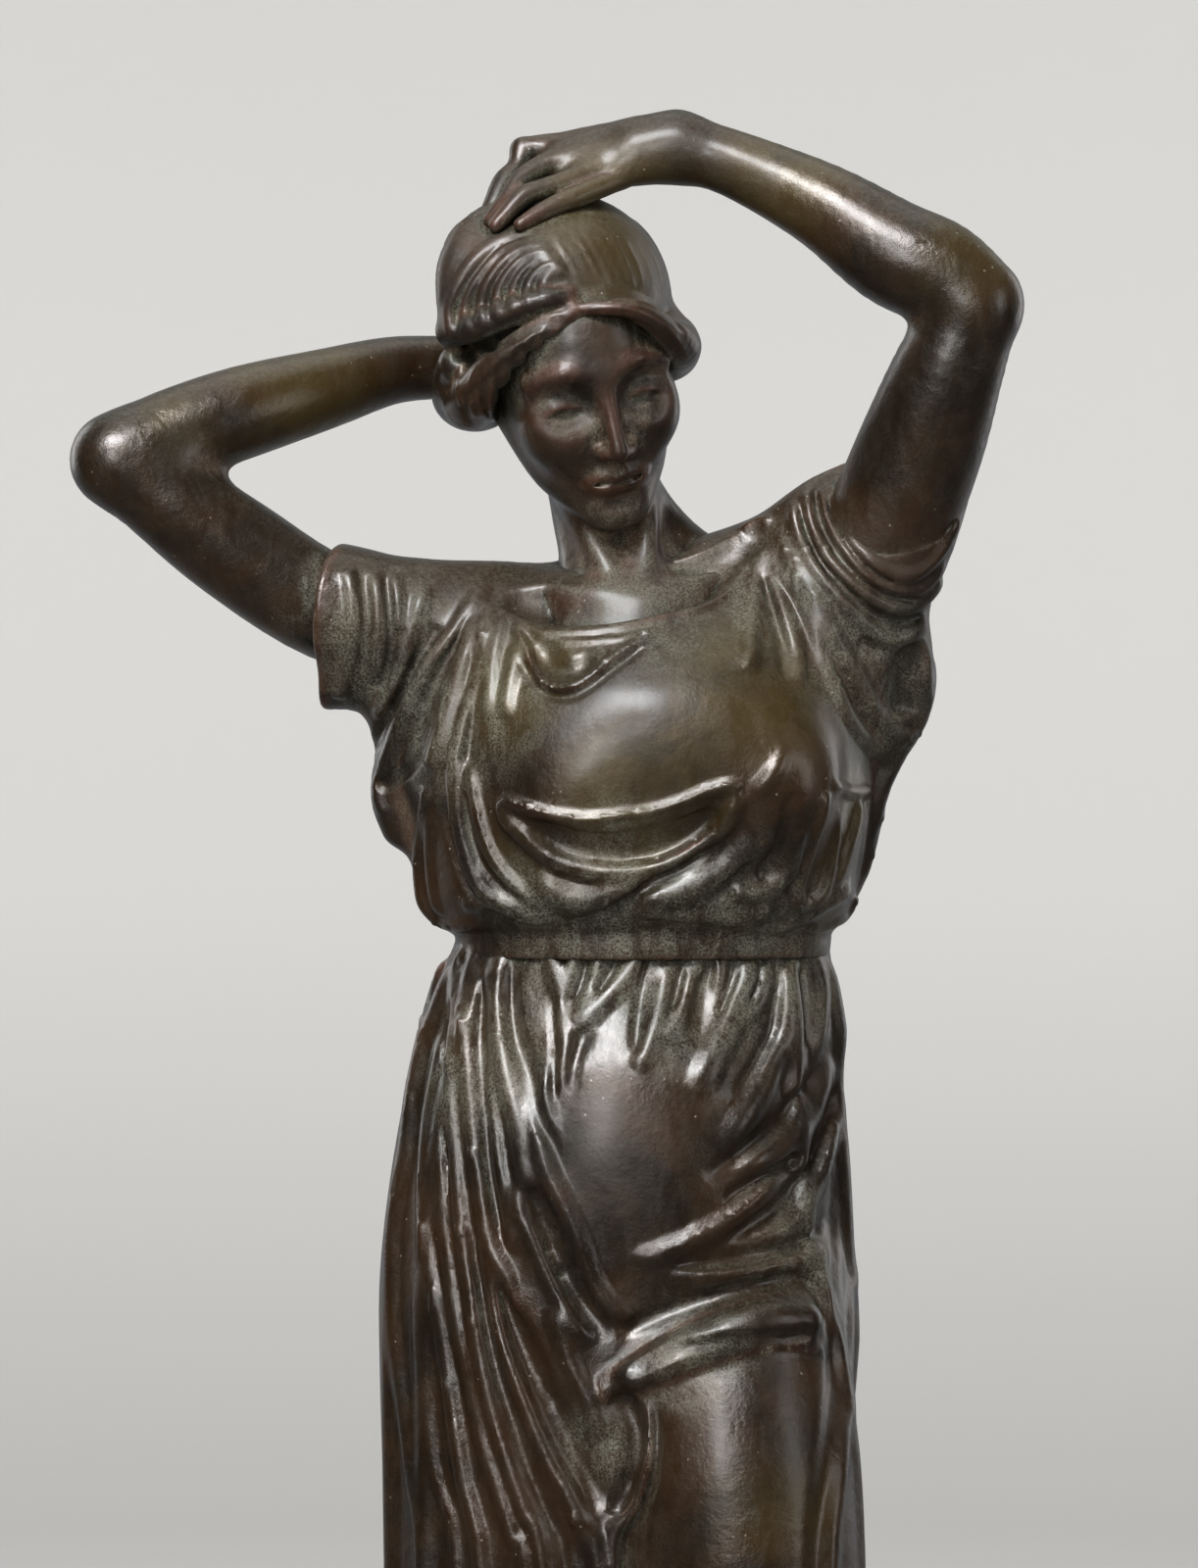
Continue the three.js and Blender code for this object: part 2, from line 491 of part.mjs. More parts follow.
// Arms and hands
const armLow = join(
  [1, cord([[-50, 4, 455, 15], [-76, 2, 460, 13.6], [-100, -2, 475, 13.4], [-118, -6, 488.5, 12],
      [-128, -7, 496, 10.6]])],
  [8, cord([[-130, -7, 498, 10.4], [-116, -3, 503.6, 11.8], [-98, 4, 510.2, 11.8], [-78, 14, 516.7, 10.3],
      [-62, 24, 522, 8.8],
    [-50, 31, 523.5, 8.2]])],
  [4, egg([-38, 36.5, 523], [13, 6, 9.5], [0, 0, 28])],
  ...[0, 1, 2, 3].map((i) => [
    2,
    cord([[-31, 40.5, 530 - i * 4.6, 3.2], [-20, 46, 532 - i * 5, 3], [-8, 47.5, 531 - i * 5, 2.7],
      [-1, 44, 529 - i * 4.6, 2.3]]),
  ]),
);
const armHigh = join(
  [1, cord([[54, 4, 456, 16], [66, -6, 480, 16.4], [74.3, -14, 501, 15.8], [80.4, -21, 518.5, 13.9],
      [86, -25, 532, 11.6]])],
  [5, cord([[88, -26, 536.5, 10.8], [78, -24, 543.2, 13.2], [66.5, -22, 548.7, 13.2],
      [49, -17, 560.9, 10.7], [27, -11, 572, 8.4],
    [12.4, -8, 576.6, 8.4]])],
  [5, cord([[12.4, -8, 576.6, 8.2], [4, -8, 576, 8]])],
  [5, egg([-5, -8, 574.3], [18, 10.5, 5.8], [50, -9, 0])],
  [2, cord([[-12, -3, 577.5, 3.8], [-21, -3, 577, 3.5], [-26.5, -3, 576.3, 3.2]], 3)],
  [1.5, cord([[-26.5, -3, 576.3, 3.1], [-28, -5, 571.5, 2.9], [-31, -7, 567.5, 3.4], [-33.5, -10, 562, 3],
      [-36, -12, 557, 2.4]])],
  [2, cord([[-11, -8, 574.5, 3.6], [-18.3, -10, 572.6, 3.3], [-23.5, -12, 570.2, 3],
      [-27.3, -14, 567.3, 2.7],
    [-30.3, -17, 562.4, 2.4], [-34.6, -19, 557, 1.9]])],
  [1.5, cord([[-9, -13, 570, 3.2], [-15, -15.5, 567, 3.1], [-21, -17.5, 565, 2.8], [-25.7, -19, 563.4, 2.6],
    [-29.4, -20.5, 559.6, 2.3], [-33.2, -22, 555.4, 1.8]])],
  [1.5, cord([[-2, -13, 568, 2.8], [-12.6, -19, 563, 2.8], [-16.7, -21, 561.3, 2.6],
      [-22, -23, 558.5, 2.3], [-27, -25, 555.3, 1.8]])],
  [2, cord([[-6, 2, 571, 3.6], [-14, 9, 566, 3.2], [-20, 12, 561, 2.6]])],
);

// Feet under the hem, each from its heel over the ball to the toes
const foot = (heel, ball, toes) =>
  join(
    [1, cord([[...heel, 10], [...ball, 8]])],
    [5, egg(ball, [10, 9, 6])],
    [5, cord([[...ball, 6], [...toes, 4]])],
  );
const feet = join(
  [1, foot([-29, -8, 36], [-31, -38, 27], [-32.5, -50, 25.5])],
  [1, foot([36, -1, 36], [38.5, -31, 27], [40.5, -43, 25.5])],
);

// Meshing: cells that a surface crosses each hold one point, and grid edges that it crosses give faces.

// The eight corners of a cell, and whether a pattern of inside corners gives one clean patch.
const CORNERS = Array.from({ length: 8 }, (_, i) => [i & 1, (i >> 1) & 1, i >> 2]);
function isClean(mask) {
  const inside = (i) => (mask >> i) & 1;
  for (const side of [0, 1]) {
    const group = [0, 1, 2, 3, 4, 5, 6, 7].filter((i) => inside(i) === side);
    if (!group.length) return true;
    const seen = new Set([group[0]]);
    for (const i of seen) for (const bit of [1, 2, 4]) if (inside(i ^ bit) === side) seen.add(i ^ bit);
    if (seen.size < group.length) return false;
  }
  for (const bit of [1, 2, 4]) {
    const [b, c] = [1, 2, 4].filter((other) => other !== bit);
    for (const first of [0, bit]) {
      const [p, q, r, s] = [first, first ^ b, first ^ b ^ c, first ^ c].map(inside);
      if (p === r && q === s && p !== q) return false;
    }
  }
  return true;
}
const CLEAN = Array.from({ length: 256 }, (_, mask) => isClean(mask));

// The surface of a field inside a box, as { points, faces }.
function surface(field, [least, high], cell) {
  const low = least.map((v) => v - cell);
  const [nx, ny, nz] = low.map((v, a) => Math.ceil((high[a] - v) / cell) + 2);
  const at = (i, j, k) => (k * ny + j) * nx + i;
  const value = new Float32Array(nx * ny * nz);
  const BLOCK = 6;
  const safe = BLOCK * cell * 1.5 + 9;
  for (let k = 0; k < nz; k += BLOCK)
    for (let j = 0; j < ny; j += BLOCK)
      for (let i = 0; i < nx; i += BLOCK) {
        const half = BLOCK / 2;
        const middle = field(low[0] + (i + half) * cell, low[1] + (j + half) * cell,
            low[2] + (k + half) * cell);
        for (let c = k; c < Math.min(k + BLOCK, nz); c++)
          for (let b = j; b < Math.min(j + BLOCK, ny); b++)
            for (let a = i; a < Math.min(i + BLOCK, nx); a++)
              value[at(a, b, c)] = Math.abs(middle) > safe
                ? middle
                : field(low[0] + a * cell, low[1] + b * cell, low[2] + c * cell) || 1e-6;
      }
  const rim = (n, count) => n === 0 || n === count - 1;
  for (let k = 0; k < nz; k++)
    for (let j = 0; j < ny; j++)
      for (let i = 0; i < nx; i++)
        if (rim(i, nx) || rim(j, ny) || rim(k, nz)) value[at(i, j, k)] = Math.max(value[at(i, j, k)], 1e-3);
  const offset = CORNERS.map(([a, b, c]) => at(a, b, c));
  const maskAt = (n) => offset.reduce((mask, step, i) => mask | ((value[n + step] < 0) << i), 0);
  for (let dirty = true; dirty; ) {
    dirty = false;
    for (let k = 0; k < nz - 1; k++)
      for (let j = 0; j < ny - 1; j++)
        for (let i = 0; i < nx - 1; i++) {
          const n = at(i, j, k);
          if (CLEAN[maskAt(n)]) continue;
          const outside = offset.map((step) => n + step).filter((m) => value[m] >= 0);
          const weakest = outside.reduce((a, b) => (value[b] < value[a] ? b : a));
          value[weakest] = -1e-3;
          dirty = true;
        }
  }
  const points = [];
  const point = new Map();
  for (let k = 0; k < nz - 1; k++)
    for (let j = 0; j < ny - 1; j++)
      for (let i = 0; i < nx - 1; i++) {
        const n = at(i, j, k);
        const mask = maskAt(n);
        if (mask === 0 || mask === 255) continue;
        const sum = [0, 0, 0];
        let count = 0;
        for (let a = 0; a < 8; a++)
          for (const bit of [1, 2, 4]) {
            const b = a | bit;
            if (a === b || ((mask >> a) & 1) === ((mask >> b) & 1)) continue;
            const t = value[n + offset[a]] / (value[n + offset[a]] - value[n + offset[b]]);
            for (let c = 0; c < 3; c++) sum[c] += lerp(CORNERS[a][c], CORNERS[b][c], t);
            count++;
          }
        point.set(n, points.length);
        points.push(sum.map((s, c) => low[c] + ([i, j, k][c] + s / count) * cell));
      }
  const faces = [];
  const strides = [1, nx, nx * ny];
  for (let k = 0; k < nz - 1; k++)
    for (let j = 0; j < ny - 1; j++)
      for (let i = 0; i < nx - 1; i++) {
        const n = at(i, j, k);
        strides.forEach((step, axis) => {
          if (value[n] < 0 === value[n + step] < 0) return;
          const [u, v] = [strides[(axis + 1) % 3], strides[(axis + 2) % 3]];
          const ring = [n - u - v, n - v, n, n - u].map((m) => point.get(m));
          if (value[n] >= 0) ring.reverse();
          faces.push([ring[0], ring[1], ring[2]], [ring[0], ring[2], ring[3]]);
        });
      }
  return { points, faces };
}

// Collapses the edges that shape the surface least until at most count faces are left.
function simplify({ points, faces }, count) {
  const corner = (f) => faces[f].map((v) => points[v]);
  const cross = ([a, b, c]) => {
    const [ux, uy, uz] = [b[0] - a[0], b[1] - a[1], b[2] - a[2]];
    const [vx, vy, vz] = [c[0] - a[0], c[1] - a[1], c[2] - a[2]];
    return [uy * vz - uz * vy, uz * vx - ux * vz, ux * vy - uy * vx];
  };
  const quadrics = points.map(() => new Float64Array(10));
  const around = points.map(() => new Set());
  faces.forEach((f, n) => {
    const normal = cross(corner(n));
    const area = Math.hypot(...normal) || 1e-12;
    const [a, b, c] = normal.map((v) => v / area);
    const d = -(a * points[f[0]][0] + b * points[f[0]][1] + c * points[f[0]][2]);
    const q = [a * a, a * b, a * c, a * d, b * b, b * c, b * d, c * c, c * d, d * d];
    for (const v of f) {
      around[v].add(n);
      q.forEach((value, i) => (quadrics[v][i] += value * area));
    }
  });
  const cost = (q, [x, y, z]) =>
    q[0] * x * x + 2 * q[1] * x * y + 2 * q[2] * x * z + 2 * q[3] * x + q[4] * y * y +
    2 * q[5] * y * z + 2 * q[6] * y + q[7] * z * z + 2 * q[8] * z + q[9];
  const stamp = new Int32Array(points.length);
  const heap = [];
  const sift = (entry) => {
    let i = heap.push(entry) - 1;
    while (i > 0 && heap[(i - 1) >> 1].cost > entry.cost) {
      heap[i] = heap[(i - 1) >> 1];
      i = (i - 1) >> 1;
    }
    heap[i] = entry;
  };
  const take = () => {
    const top = heap[0];
    const last = heap.pop();
    if (heap.length) {
      let i = 0;
      for (;;) {
        let child = 2 * i + 1;
        if (child >= heap.length) break;
        if (child + 1 < heap.length && heap[child + 1].cost < heap[child].cost) child++;
        if (heap[child].cost >= last.cost) break;
        heap[i] = heap[child];
        i = child;
      }
      heap[i] = last;
    }
    return top;
  };
  const offer = (u, v) => {
    const q = quadrics[u].map((value, i) => value + quadrics[v][i]);
    const [a, b] = [points[u], points[v]];
    const middle = a.map((value, i) => (value + b[i]) / 2);
    const choices = [middle, a, b];
    const m = new THREE.Matrix3().set(q[0], q[1], q[2], q[1], q[4], q[5], q[2], q[5], q[7]);
    const size = Math.hypot(a[0] - b[0], a[1] - b[1], a[2] - b[2]);
    if (Math.abs(m.determinant()) > 1e-6) {
      const best = new THREE.Vector3(-q[3], -q[6], -q[8]).applyMatrix3(m.invert());
      if (best.distanceTo(new THREE.Vector3(...middle)) < size * 1.5) choices.unshift(best.toArray());
    }
    const priced = choices.map((p) => [cost(q, p), p]);
    const [price, place] = priced.reduce((x, y) => (y[0] < x[0] ? y : x));
    sift({ cost: Math.max(price, 0) + size * size * 1e-4, u, v, place, stamps: stamp[u] + stamp[v] });
  };
  const neighbours = (v) => {
    const found = new Set();
    for (const f of around[v]) for (const w of faces[f]) if (w !== v) found.add(w);
    return found;
  };
  points.forEach((_, v) => neighbours(v).forEach((w) => w > v && offer(v, w)));
  let left = faces.length;
  const dead = new Uint8Array(points.length);
  while (left > count && heap.length) {
    const { u, v, place, stamps } = take();
    if (dead[u] || dead[v] || stamps !== stamp[u] + stamp[v]) continue;
    const near = neighbours(v);
    const shared = [...neighbours(u)].filter((w) => near.has(w));
    if (shared.length !== 2) continue;
    const turns = [u, v].some((w) =>
      [...around[w]].some((f) => {
        if (faces[f].includes(u) && faces[f].includes(v)) return false;
        const before = cross(corner(f));
        const after = cross(faces[f].map((p) => (p === w ? place : points[p])));
        const dot = before[0] * after[0] + before[1] * after[1] + before[2] * after[2];
        return dot < 0.25 * Math.hypot(...before) * Math.hypot(...after) || Math.hypot(...after) < 1e-3;
      }));
    if (turns) continue;
    for (const f of around[v]) {
      if (faces[f].includes(u)) {
        faces[f].forEach((w) => w !== v && around[w].delete(f));
        faces[f] = null;
        left--;
      } else {
        faces[f] = faces[f].map((w) => (w === v ? u : w));
        around[u].add(f);
      }
    }
    points[u] = place;
    quadrics[v].forEach((value, i) => (quadrics[u][i] += value));
    dead[v] = 1;
    stamp[u] += 1;
    const ring = neighbours(u);
    ring.forEach((w) => offer(u, w));
  }
  return { points, faces: faces.filter(Boolean) };
}

// Closed meshes, joined into one casting
const wasm = await Module();
wasm.setup();

function solidOf(geometry) {
  const bare = new THREE.BufferGeometry().setAttribute("position", geometry.getAttribute("position"));
  bare.setIndex(geometry.index);
  const merged = mergeVertices(bare, 1e-4);
  return new wasm.Manifold(
    new wasm.Mesh({
      numProp: 3,
      vertProperties: new Float32Array(merged.attributes.position.array),
      triVerts: new Uint32Array(merged.index.array),
    }),
  );
}

function carved(field, box, cell, count) {
  const { points, faces } = simplify(surface(field, box, cell), count);
  const geometry = new THREE.BufferGeometry();
  geometry.setAttribute("position", new THREE.Float32BufferAttribute(points.flat(), 3));
  geometry.setIndex(faces.flat());
  return solidOf(geometry);
}

function geometryOf(solid) {
  const { vertProperties, triVerts } = solid.getMesh();
  const geometry = new THREE.BufferGeometry();
  geometry.setAttribute("position", new THREE.BufferAttribute(vertProperties, 3));
  geometry.setIndex(new THREE.BufferAttribute(triVerts, 1));
  geometry.computeVertexNormals();
  return geometry;
}

// The round base, turned from a moulded profile
function base() {
  const r = BASE_RADIUS;
  const h = BASE_HEIGHT;
  const profile = [[0, 0], [r, 0], [r, 5], [r - 2.5, 7.5], [r - 2.5, h - 6], [r - 4, h - 1.5], [r - 7, h],
      [0, h]];
  const turned = new THREE.LatheGeometry(profile.map(([x, y]) => new THREE.Vector2(x, y)), BASE_SIDES);
  return solidOf(turned.rotateX(Math.PI / 2));
}

const PIECES = [
  carved(skirt, [[-74, -72, 18], [78, 66, 380]], 2.1, 3450),
  carved(join([1, blouse], [0.5, belt]), [[-92, -60, 368], [92, 48, 500]], 1.9, 2450),
  carved(skin, [[-46, -48, 424], [42, 44, 562]], 1.3, 1150),
  carved(hair, [[-56, -46, 492], [26, 56, 574]], 1.5, 800),
  carved(armLow, [[-146, -24, 432], [6, 60, 542]], 1.6, 420),
  carved(armHigh, [[-42, -44, 432], [106, 28, 590]], 1.4, 850),
  carved(feet, [[-46, -68, 18], [64, 6, 50]], 1.8, 140),
  base(),
];
const casting = PIECES.reduce((whole, piece) => whole.add(piece));

const bronze = new THREE.MeshStandardMaterial({ color: 0x3a2a1e, roughness: 0.38, metalness: 0.85 });
const figure = new THREE.Mesh(geometryOf(casting), bronze);
figure.name = "figure";

const part = new THREE.Group();
part.add(figure);
export default part;
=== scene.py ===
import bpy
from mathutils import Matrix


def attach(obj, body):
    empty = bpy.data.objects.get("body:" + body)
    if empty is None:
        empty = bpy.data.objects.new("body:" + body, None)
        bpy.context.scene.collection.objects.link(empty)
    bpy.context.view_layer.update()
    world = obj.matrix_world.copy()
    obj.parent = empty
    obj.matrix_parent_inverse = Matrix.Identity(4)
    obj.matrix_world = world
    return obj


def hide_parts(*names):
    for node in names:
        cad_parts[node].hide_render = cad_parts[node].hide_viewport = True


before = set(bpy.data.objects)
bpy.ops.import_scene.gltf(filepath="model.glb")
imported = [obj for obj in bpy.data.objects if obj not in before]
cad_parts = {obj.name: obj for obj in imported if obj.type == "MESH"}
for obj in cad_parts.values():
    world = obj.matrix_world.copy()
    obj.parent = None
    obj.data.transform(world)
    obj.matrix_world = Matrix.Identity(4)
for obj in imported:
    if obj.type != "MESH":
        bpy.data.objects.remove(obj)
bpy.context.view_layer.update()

from concurrent.futures import ThreadPoolExecutor
from math import cos, radians, sin

import bpy
import numpy as np
from mathutils import Euler, Matrix, Vector

MM = 0.001
FINE = 1.0
WAIST_Z = 376.0
BASE_RADIUS = 74.0
BASE_HEIGHT = 22.0
BASE_SIDES = 128

# Where folds are seen from, how far a form or a fold still counts, and how round a crest is
EYE = np.array([-7.0, -1500.0, 415.0])
SKIP = 9.0
CREST = 0.28

# How far from each point its hollows and edges are felt for
REACHES = (1.2, 3.0, 7.0)

# The camera in metres and its lens, and the paper sweep in millimetres
CAMERA_PLACE = (-0.00725, -1.5, 0.415)
LENS, SENSOR = 135, 36
SWEEP_FLAT, SWEEP_BEND, SWEEP_HEIGHT, SWEEP_SIDES = 1800, 700, 1700, 120

# Colours of the patina, then of the paper from its foot to its top, darker at the foot and top as painted
# shade, and how much the paper glows as painted light
# The near-black of the hollows is painted shade, laid where shade falls
PAINTED_HOLLOW_SHADE = (0.006, 0.004, 0.003)
DARK = (0.015, 0.009, 0.0055)
BROWN = (0.037, 0.0172, 0.0078)
OLIVE = (0.06, 0.039, 0.0125)
RED = (0.075, 0.029, 0.0145)
DUST = (0.165, 0.16, 0.118)
SPECK = (0.32, 0.3, 0.25)
PAPER_SHADE = (0.392, 0.386, 0.376)
PAPER = (0.512, 0.503, 0.487)
PAPER_TOP = (0.494, 0.486, 0.47)
PAPER_GLOW = 0.55

# Brightness and colour of what surrounds the figure
ROOM, WALL, TABLE = 0.02, 0.34, 0.12
DAYLIGHT = (0.92, 0.96, 1.0, 1)

# Lamps: name, place, width and height in metres, watts and colour
LAMP_AIM = (0, 0, 0.38)
WHITE, COOL, COLD = (1, 1, 1), (0.96, 0.98, 1.0), (0.93, 0.96, 1.0)
LAMPS = [
    ("key", (-0.38, -1.05, 1.5), (0.6, 0.5), 32, COLD),
    ("front", (-0.6, -1.9, 0.85), (0.4, 0.7), 13.5, COOL),
    ("fill", (1.4, -0.9, 0.7), (0.4, 1.0), 4, COOL),
    ("rim_left", (-1.1, 0.9, 0.9), (0.5, 1.2), 4, WHITE),
    ("rim_right", (1.1, 0.9, 0.8), (0.5, 1.2), 2.6, WHITE),
    ("top", (0.0, 0.2, 1.9), (1.2, 1.2), 4.5, WHITE),
]


# Curves and distance fields. All of the sculpting is in millimetres.

def route(points, steps=5):
    """A smooth line through the points, with steps samples to a span."""
    points = np.array(points, float)
    last = len(points) - 1
    t = (np.arange(steps) / steps)[:, None]
    spans = []
    for i in range(last):
        a, b, c, d = (points[min(max(i + j, 0), last)] for j in (-1, 0, 1, 2))
        spans.append(0.5 * (2 * b + (c - a) * t + (2 * a - 5 * b + 4 * c - d) * t**2
                            + (3 * b - a - 3 * c + d) * t**3))
    return np.vstack(spans + [points[last:]])


def turning(degrees):
    """The matrix of a turn about x, y and z."""
    return np.array(Euler([radians(a) for a in degrees], "XYZ").to_matrix())


def within(box, margin, x, y, z):
    """Which points lie inside a box grown by a margin."""
    near = np.ones(x.shape, bool)
    for value, low, high in zip((x, y, z), *box):
        near &= (value > low - margin) & (value < high + margin)
    return near


def cord(points, steps=5):
    """A round limb along points of x, y, z and radius."""
    path = route(points, steps)
    spans = [(*a, *(b - a)) for a, b in zip(path[:-1].tolist(), path[1:])]
    low = (path[:, :3] - path[:, 3:]).min(axis=0)
    high = (path[:, :3] + path[:, 3:]).max(axis=0)

    def field(x, y, z):
        best = np.full(x.shape, 1e6, np.float32)
        for ax, ay, az, ar, dx, dy, dz, dr in spans:
            px, py, pz = x - ax, y - ay, z - az
            t = np.clip((px * dx + py * dy + pz * dz) / (dx * dx + dy * dy + dz * dz + 1e-9), 0, 1)
            away = np.sqrt((px - t * dx) ** 2 + (py - t * dy) ** 2 + (pz - t * dz) ** 2)
            np.minimum(best, away - ar - t * dr, out=best)
        return best

    field.box = (low, high)
    return field


def egg(centre, radii, turn=(0, 0, 0)):
    """An ellipsoid, turned by degrees about x, y and z."""
    m = turning(turn)
    cx, cy, cz = centre
    rx, ry, rz = radii

    def field(x, y, z):
        px, py, pz = x - cx, y - cy, z - cz
        u = (px * m[0, 0] + py * m[1, 0] + pz * m[2, 0]) / rx
        v = (px * m[0, 1] + py * m[1, 1] + pz * m[2, 1]) / ry
        w = (px * m[0, 2] + py * m[1, 2] + pz * m[2, 2]) / rz
        k0 = np.sqrt(u * u + v * v + w * w)
        k1 = np.sqrt((u / rx) ** 2 + (v / ry) ** 2 + (w / rz) ** 2)
        return k0 * (k0 - 1) / (k1 + 1e-9)

    reach = np.full(3, max(radii))
    field.box = (np.array(centre) - reach, np.array(centre) + reach)
    return field


def trunk(rows):
    """An upright form whose oval section runs through rows of z, left, right, front and back."""
    path = route(rows, 8)
    path = path[np.argsort(path[:, 0])]
    low, high = path[0, 0], path[-1, 0]

    def field(x, y, z):
        level = np.clip(z, low, high)
        left, right, front, back = (np.interp(level, path[:, 0], path[:, k]) for k in (1, 2, 3, 4))
        rx, ry = (right - left) / 2, (back - front) / 2
        u = (x - (left + right) / 2) / rx
        v = (y - (front + back) / 2) / ry
        k0 = np.hypot(u, v)
        k1 = np.hypot(u / rx, v / ry)
        return np.maximum(k0 * (k0 - 1) / (k1 + 1e-9), np.maximum(z - high, low - z))

    field.box = (np.array([path[:, 1].min(), path[:, 3].min(), low]),
                 np.array([path[:, 2].max(), path[:, 4].max(), high]))
    return field


def behind(point, normal):
    """The side of a flat cut that its normal points away from."""
    n = Vector(normal).normalized()
    return lambda x, y, z: (x - point[0]) * n.x + (y - point[1]) * n.y + (z - point[2]) * n.z


def soften(a, b, k):
    """The lower of two values, blended where they differ by less than k."""
    h = np.maximum(k - np.abs(a - b), 0) / k
    return np.minimum(a, b) - h * h * (k / 4)


def join(*parts):
    """Joins (blend radius, field) pairs one after another. Far from a form's box, the gap to it will do."""
    def field(x, y, z):
        d = parts[0][1](x, y, z)
        for k, part in parts[1:]:
            box = getattr(part, "box", None)
            if box is None:
                d = soften(d, part(x, y, z), k)
                continue
            near = within(box, k + SKIP, x, y, z)
            if near.any():
                d[near] = soften(d[near], part(x[near], y[near], z[near]), k)
            far = ~near
            if far.any():
                gap = np.zeros(far.sum(), np.float32)
                for value, low, high in zip((x, y, z), *box):
                    gap = np.maximum(gap, np.maximum(low - value[far], value[far] - high))
                d[far] = np.minimum(d[far], gap)
        return d
    return field


def hollow(form, *tools):
    """Takes (blend radius, field) pairs out of a form."""
    def field(x, y, z):
        d = form(x, y, z)
        for k, tool in tools:
            d = -soften(-d, tool(x, y, z), k)
        return d
    return field


def both(k, a, b):
    """What two forms share."""
    return lambda x, y, z: -soften(-a(x, y, z), -b(x, y, z), k)


def mirrored(form):
    """A form's half at positive x, on both sides."""
    return lambda x, y, z: form(np.abs(x), y, z)


def mirrored_at(middle, form):
    """The mirror image of a form that stands at the middle."""
    return lambda x, y, z: form(2 * middle - x, y, z)


def placed(form, centre, turn, scale):
    """A form made in a frame of its own, turned by degrees, scaled and set at its centre."""
    m = turning(turn) / scale

    def field(x, y, z):
        px, py, pz = x - centre[0], y - centre[1], z - centre[2]
        return scale * form(*(px * m[0, i] + py * m[1, i] + pz * m[2, i] for i in range(3)))
    return field


def landing(form, start, end):
    """The points where straight lines from outside first meet a form, and the ways back out.

    A line that misses the form lands where it came nearest. It may run a little past its end.
    """
    way = end - start
    length = np.linalg.norm(way, axis=1)
    reach = length * 1.15
    way = way / length[:, None]
    t = np.zeros(len(start))
    nearest = np.full(len(start), np.inf)
    found = np.zeros(len(start))
    for _ in range(90):
        d = form(*(start + way * t[:, None]).T.copy())
        better = d < nearest
        nearest[better], found[better] = d[better], t[better]
        going = (d > 0.05) & (t < reach)
        if not going.any():
            break
        t = np.where(going, t + np.maximum(d * 0.7, 0.05), t)
    return start + way * found[:, None], -way


# Folds: ridges and valleys laid on a form along drawn paths.

class Fold:
    """path holds x and z seen from the front at y = 0, or degrees and z when it goes round the axis.

    wide is the half width and high the height. lean narrows one side, fade tapers the ends.
    The crest is rounded and the flanks are hollow, as in heavy cloth.
    """

    def __init__(self, path, wide, high, lean=0.0, fade=0.2, round=False, steps=5):
        line = route(path, steps)
        across, level = line.T
        if round:
            angle = np.radians(across)
            self.start = np.stack([200 * np.sin(angle), -200 * np.cos(angle), level], 1)
            self.end = np.stack([0 * level, 0 * level, level], 1)
        else:
            self.end = np.stack([across, 0 * level, level], 1)
            self.start = np.broadcast_to(EYE, self.end.shape)
        self.wide, self.high, self.lean, self.fade = wide, high, lean, fade

    def lay(self, points, out):
        """Lays the line on a form, through its points there and the ways out of it."""
        along = np.diff(points, axis=0)
        side = np.cross(along, out[:-1])
        side /= np.linalg.norm(side, axis=1)[:, None] + 1e-9
        self.spans = list(zip(points[:-1].tolist(), along.tolist(), side.tolist()))
        self.box = (points.min(axis=0) - self.wide, points.max(axis=0) + self.wide)

    def nearest(self, x, y, z):
        """Each point's distance to the line, its place along it in spans and its offset to the side."""
        best = np.full(x.shape, self.wide**2, np.float32)
        where = np.full(x.shape, -1, np.float32)
        offset = np.zeros(x.shape, np.float32)
        for i, ((ax, ay, az), (dx, dy, dz), (sx, sy, sz)) in enumerate(self.spans):
            px, py, pz = x - ax, y - ay, z - az
            t = np.clip((px * dx + py * dy + pz * dz) / (dx * dx + dy * dy + dz * dz + 1e-9), 0, 1)
            ex, ey, ez = px - t * dx, py - t * dy, pz - t * dz
            away = ex * ex + ey * ey + ez * ez
            closer = away < best
            best = np.where(closer, away, best)
            where = np.where(closer, i + t, where)
            offset = np.where(closer, ex * sx + ey * sy + ez * sz, offset)
        return np.sqrt(best), where, offset

    def add(self, x, y, z, total):
        """Adds the fold's height at each point to the total."""
        near = within(self.box, 0, x, y, z)
        if not near.any():
            return
        away, where, offset = self.nearest(x[near], y[near], z[near])
        narrow = np.where(offset * self.lean > 0, 1 - abs(self.lean), 1)
        u = np.minimum(away / (self.wide * narrow), 1)
        u = (np.sqrt(u * u + CREST * CREST) - CREST) / (np.sqrt(1 + CREST * CREST) - CREST)
        t = where / len(self.spans)
        ends = np.ones(u.shape, np.float32)
        if self.fade:
            for s in (np.clip(t / self.fade, 0, 1), np.clip((1 - t) / self.fade, 0, 1)):
                ends *= s * s * (3 - 2 * s)
        total[near] += np.where(where < 0, 0, self.high * ends * (1 - u) ** 2)


def fan(start, end, count, high, **rest):
    """Folds spread evenly from one path to another. Their heights follow the list in turn."""
    start, end = np.array(start, float), np.array(end, float)
    share = [i / (count - 1) for i in range(count)]
    return [Fold(start + (end - start) * t, high=high[i % len(high)], **rest) for i, t in enumerate(share)]


def draped(form, folds):
    """A form with its folds raised and sunk."""
    points, out = landing(form, np.vstack([f.start for f in folds]), np.vstack([f.end for f in folds]))
    first = 0
    for fold in folds:
        last = first + len(fold.start)
        fold.lay(points[first:last], out[first:last])
        first = last

    def field(x, y, z):
        d = form(x, y, z)
        near = np.abs(d) < SKIP
        if near.any():
            px, py, pz = x[near], y[near], z[near]
            total = np.zeros(px.shape, np.float32)
            for fold in folds:
                fold.add(px, py, pz, total)
            d[near] -= total
        return d
    return field


# Skirt

